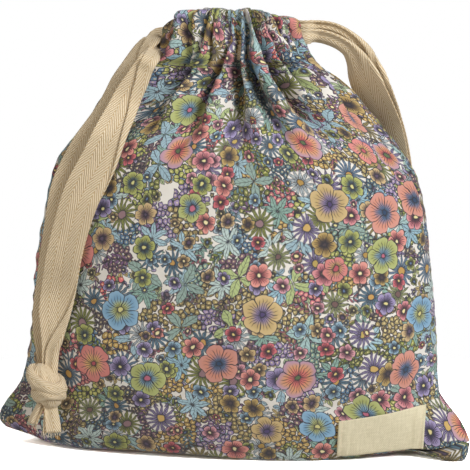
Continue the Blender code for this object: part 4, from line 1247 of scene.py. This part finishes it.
label_seams = []
for across in (SEAM_INSET / LABEL_SIZE[0], 1 - SEAM_INSET / LABEL_SIZE[0]):
    for k in range(LABEL_STITCHES):
        for up in ((k + 0.14) / LABEL_STITCHES, (k + 0.86) / LABEL_STITCHES):
            off = LABEL_LIFT + HEM_LIFT - SEAM_DIP + LABEL_THICKNESS / 2
            label_seams.append(label_place(across, up, off))
stitch_row("label_stitches", label_seams, thread_material)
casing_seam = []
for back in (False, True):
    row = [Vector(place) for place in cloth_row(STITCH_LEVEL, back, 0.0)]
    for k in range(CASING_STITCHES):
        for step in (0.0, 1.3):
            at = 1 + (k + step / 2) * (len(row) - 4) / (CASING_STITCHES + 1)
            start = row[int(at)].lerp(row[int(at) + 1], at - int(at))
            along = (row[int(at) + 1] - row[int(at)]).normalized()
            facing = along.cross(Vector((0, 0, 1))).normalized() * (-1 if back else 1)
            casing_seam.append((start + facing * 0.0001, facing))
stitch_row("casing_stitches", casing_seam, sewing_thread)


# Table top and backdrop: one sweep of pale paper, so that the pouch stands on white. The light that it
# throws back on the pouch is that of a plain grey paper.
def seen_by_eye(tree):
    """1 where the camera looks, also in a mirror or through glass, and 0 for the light that is thrown."""
    rays = node(tree, "LightPath")
    seen = node(tree, "Math ADD", rays.outputs["Is Camera Ray"], rays.outputs["Is Glossy Ray"])
    return node(tree, "Math ADD", seen, rays.outputs["Is Transmission Ray"], use_clamp=True)


bpy.ops.mesh.primitive_plane_add(size=6, location=(0, 0, -0.0002))
floor = bpy.context.object
floor.name = "floor"
paper, tree, shader = new_material("white_paper")
tree.nodes.remove(shader)
looked_at = seen_by_eye(tree)
spot = node(tree, "TexCoord")
spot = node(tree, "VectorMath LENGTH", spot.outputs["Object"])
far = node(tree, "MapRange", {"Value": spot, "From Min": 0.11, "From Max": 0.24},
    interpolation_type="SMOOTHSTEP")
grain = node(tree, "BsdfDiffuse", {"Color": "#C4C2BE"})
near_paper = node(tree, "BsdfDiffuse", {"Color": (3.2, 3.2, 3.2, 1)})
far_paper = node(tree, "Emission", {"Color": "#FFFFFF", "Strength": 1.0})
seen = node(tree, "MixShader", {0: far, 1: near_paper, 2: far_paper})
sweep = node(tree, "MixShader", {0: looked_at, 1: grain, 2: seen})
feed(tree.nodes["Material Output"], {"Surface": sweep})
floor.data.materials.append(paper)


# Light: a window light from the upper right, a weak warm lamp from the left, one behind and an even room
def soft_light(name, place, size, power, colour):
    bpy.ops.object.light_add(type="AREA", location=place)
    light = bpy.context.object
    light.name = name
    light.data.shape = "RECTANGLE"
    light.data.size, light.data.size_y = size
    light.data.energy = power
    light.data.color = colour
    target = Vector((0, 0, 0.10))
    light.rotation_euler = (target - light.location).to_track_quat("-Z", "Y").to_euler()


soft_light("window", (1.00, -0.85, 0.95), (0.6, 0.6), 23, (0.98, 0.99, 1.0))
soft_light("lamp", (-0.80, -1.15, 0.80), (0.8, 0.8), 6.6, (1.0, 0.93, 0.83))
soft_light("back_light", (-0.30, 1.30, 0.85), (0.8, 0.8), 11, (1.0, 0.99, 0.97))
world = bpy.data.worlds.new("room")
bpy.context.scene.world = world
world.use_nodes = True
tree = world.node_tree
room_light = tree.nodes["Background"]
feed(room_light, {"Color": (1.0, 0.975, 0.94, 1), "Strength": 0.11})
white = node(tree, "Background", {"Color": "#FFFFFF", "Strength": 1.0})
looked_at = seen_by_eye(tree)
both = node(tree, "MixShader", {0: looked_at, 1: room_light, 2: white})
feed(tree.nodes["World Output"], {"Surface": both})
bpy.context.scene.view_settings.view_transform = "Standard"
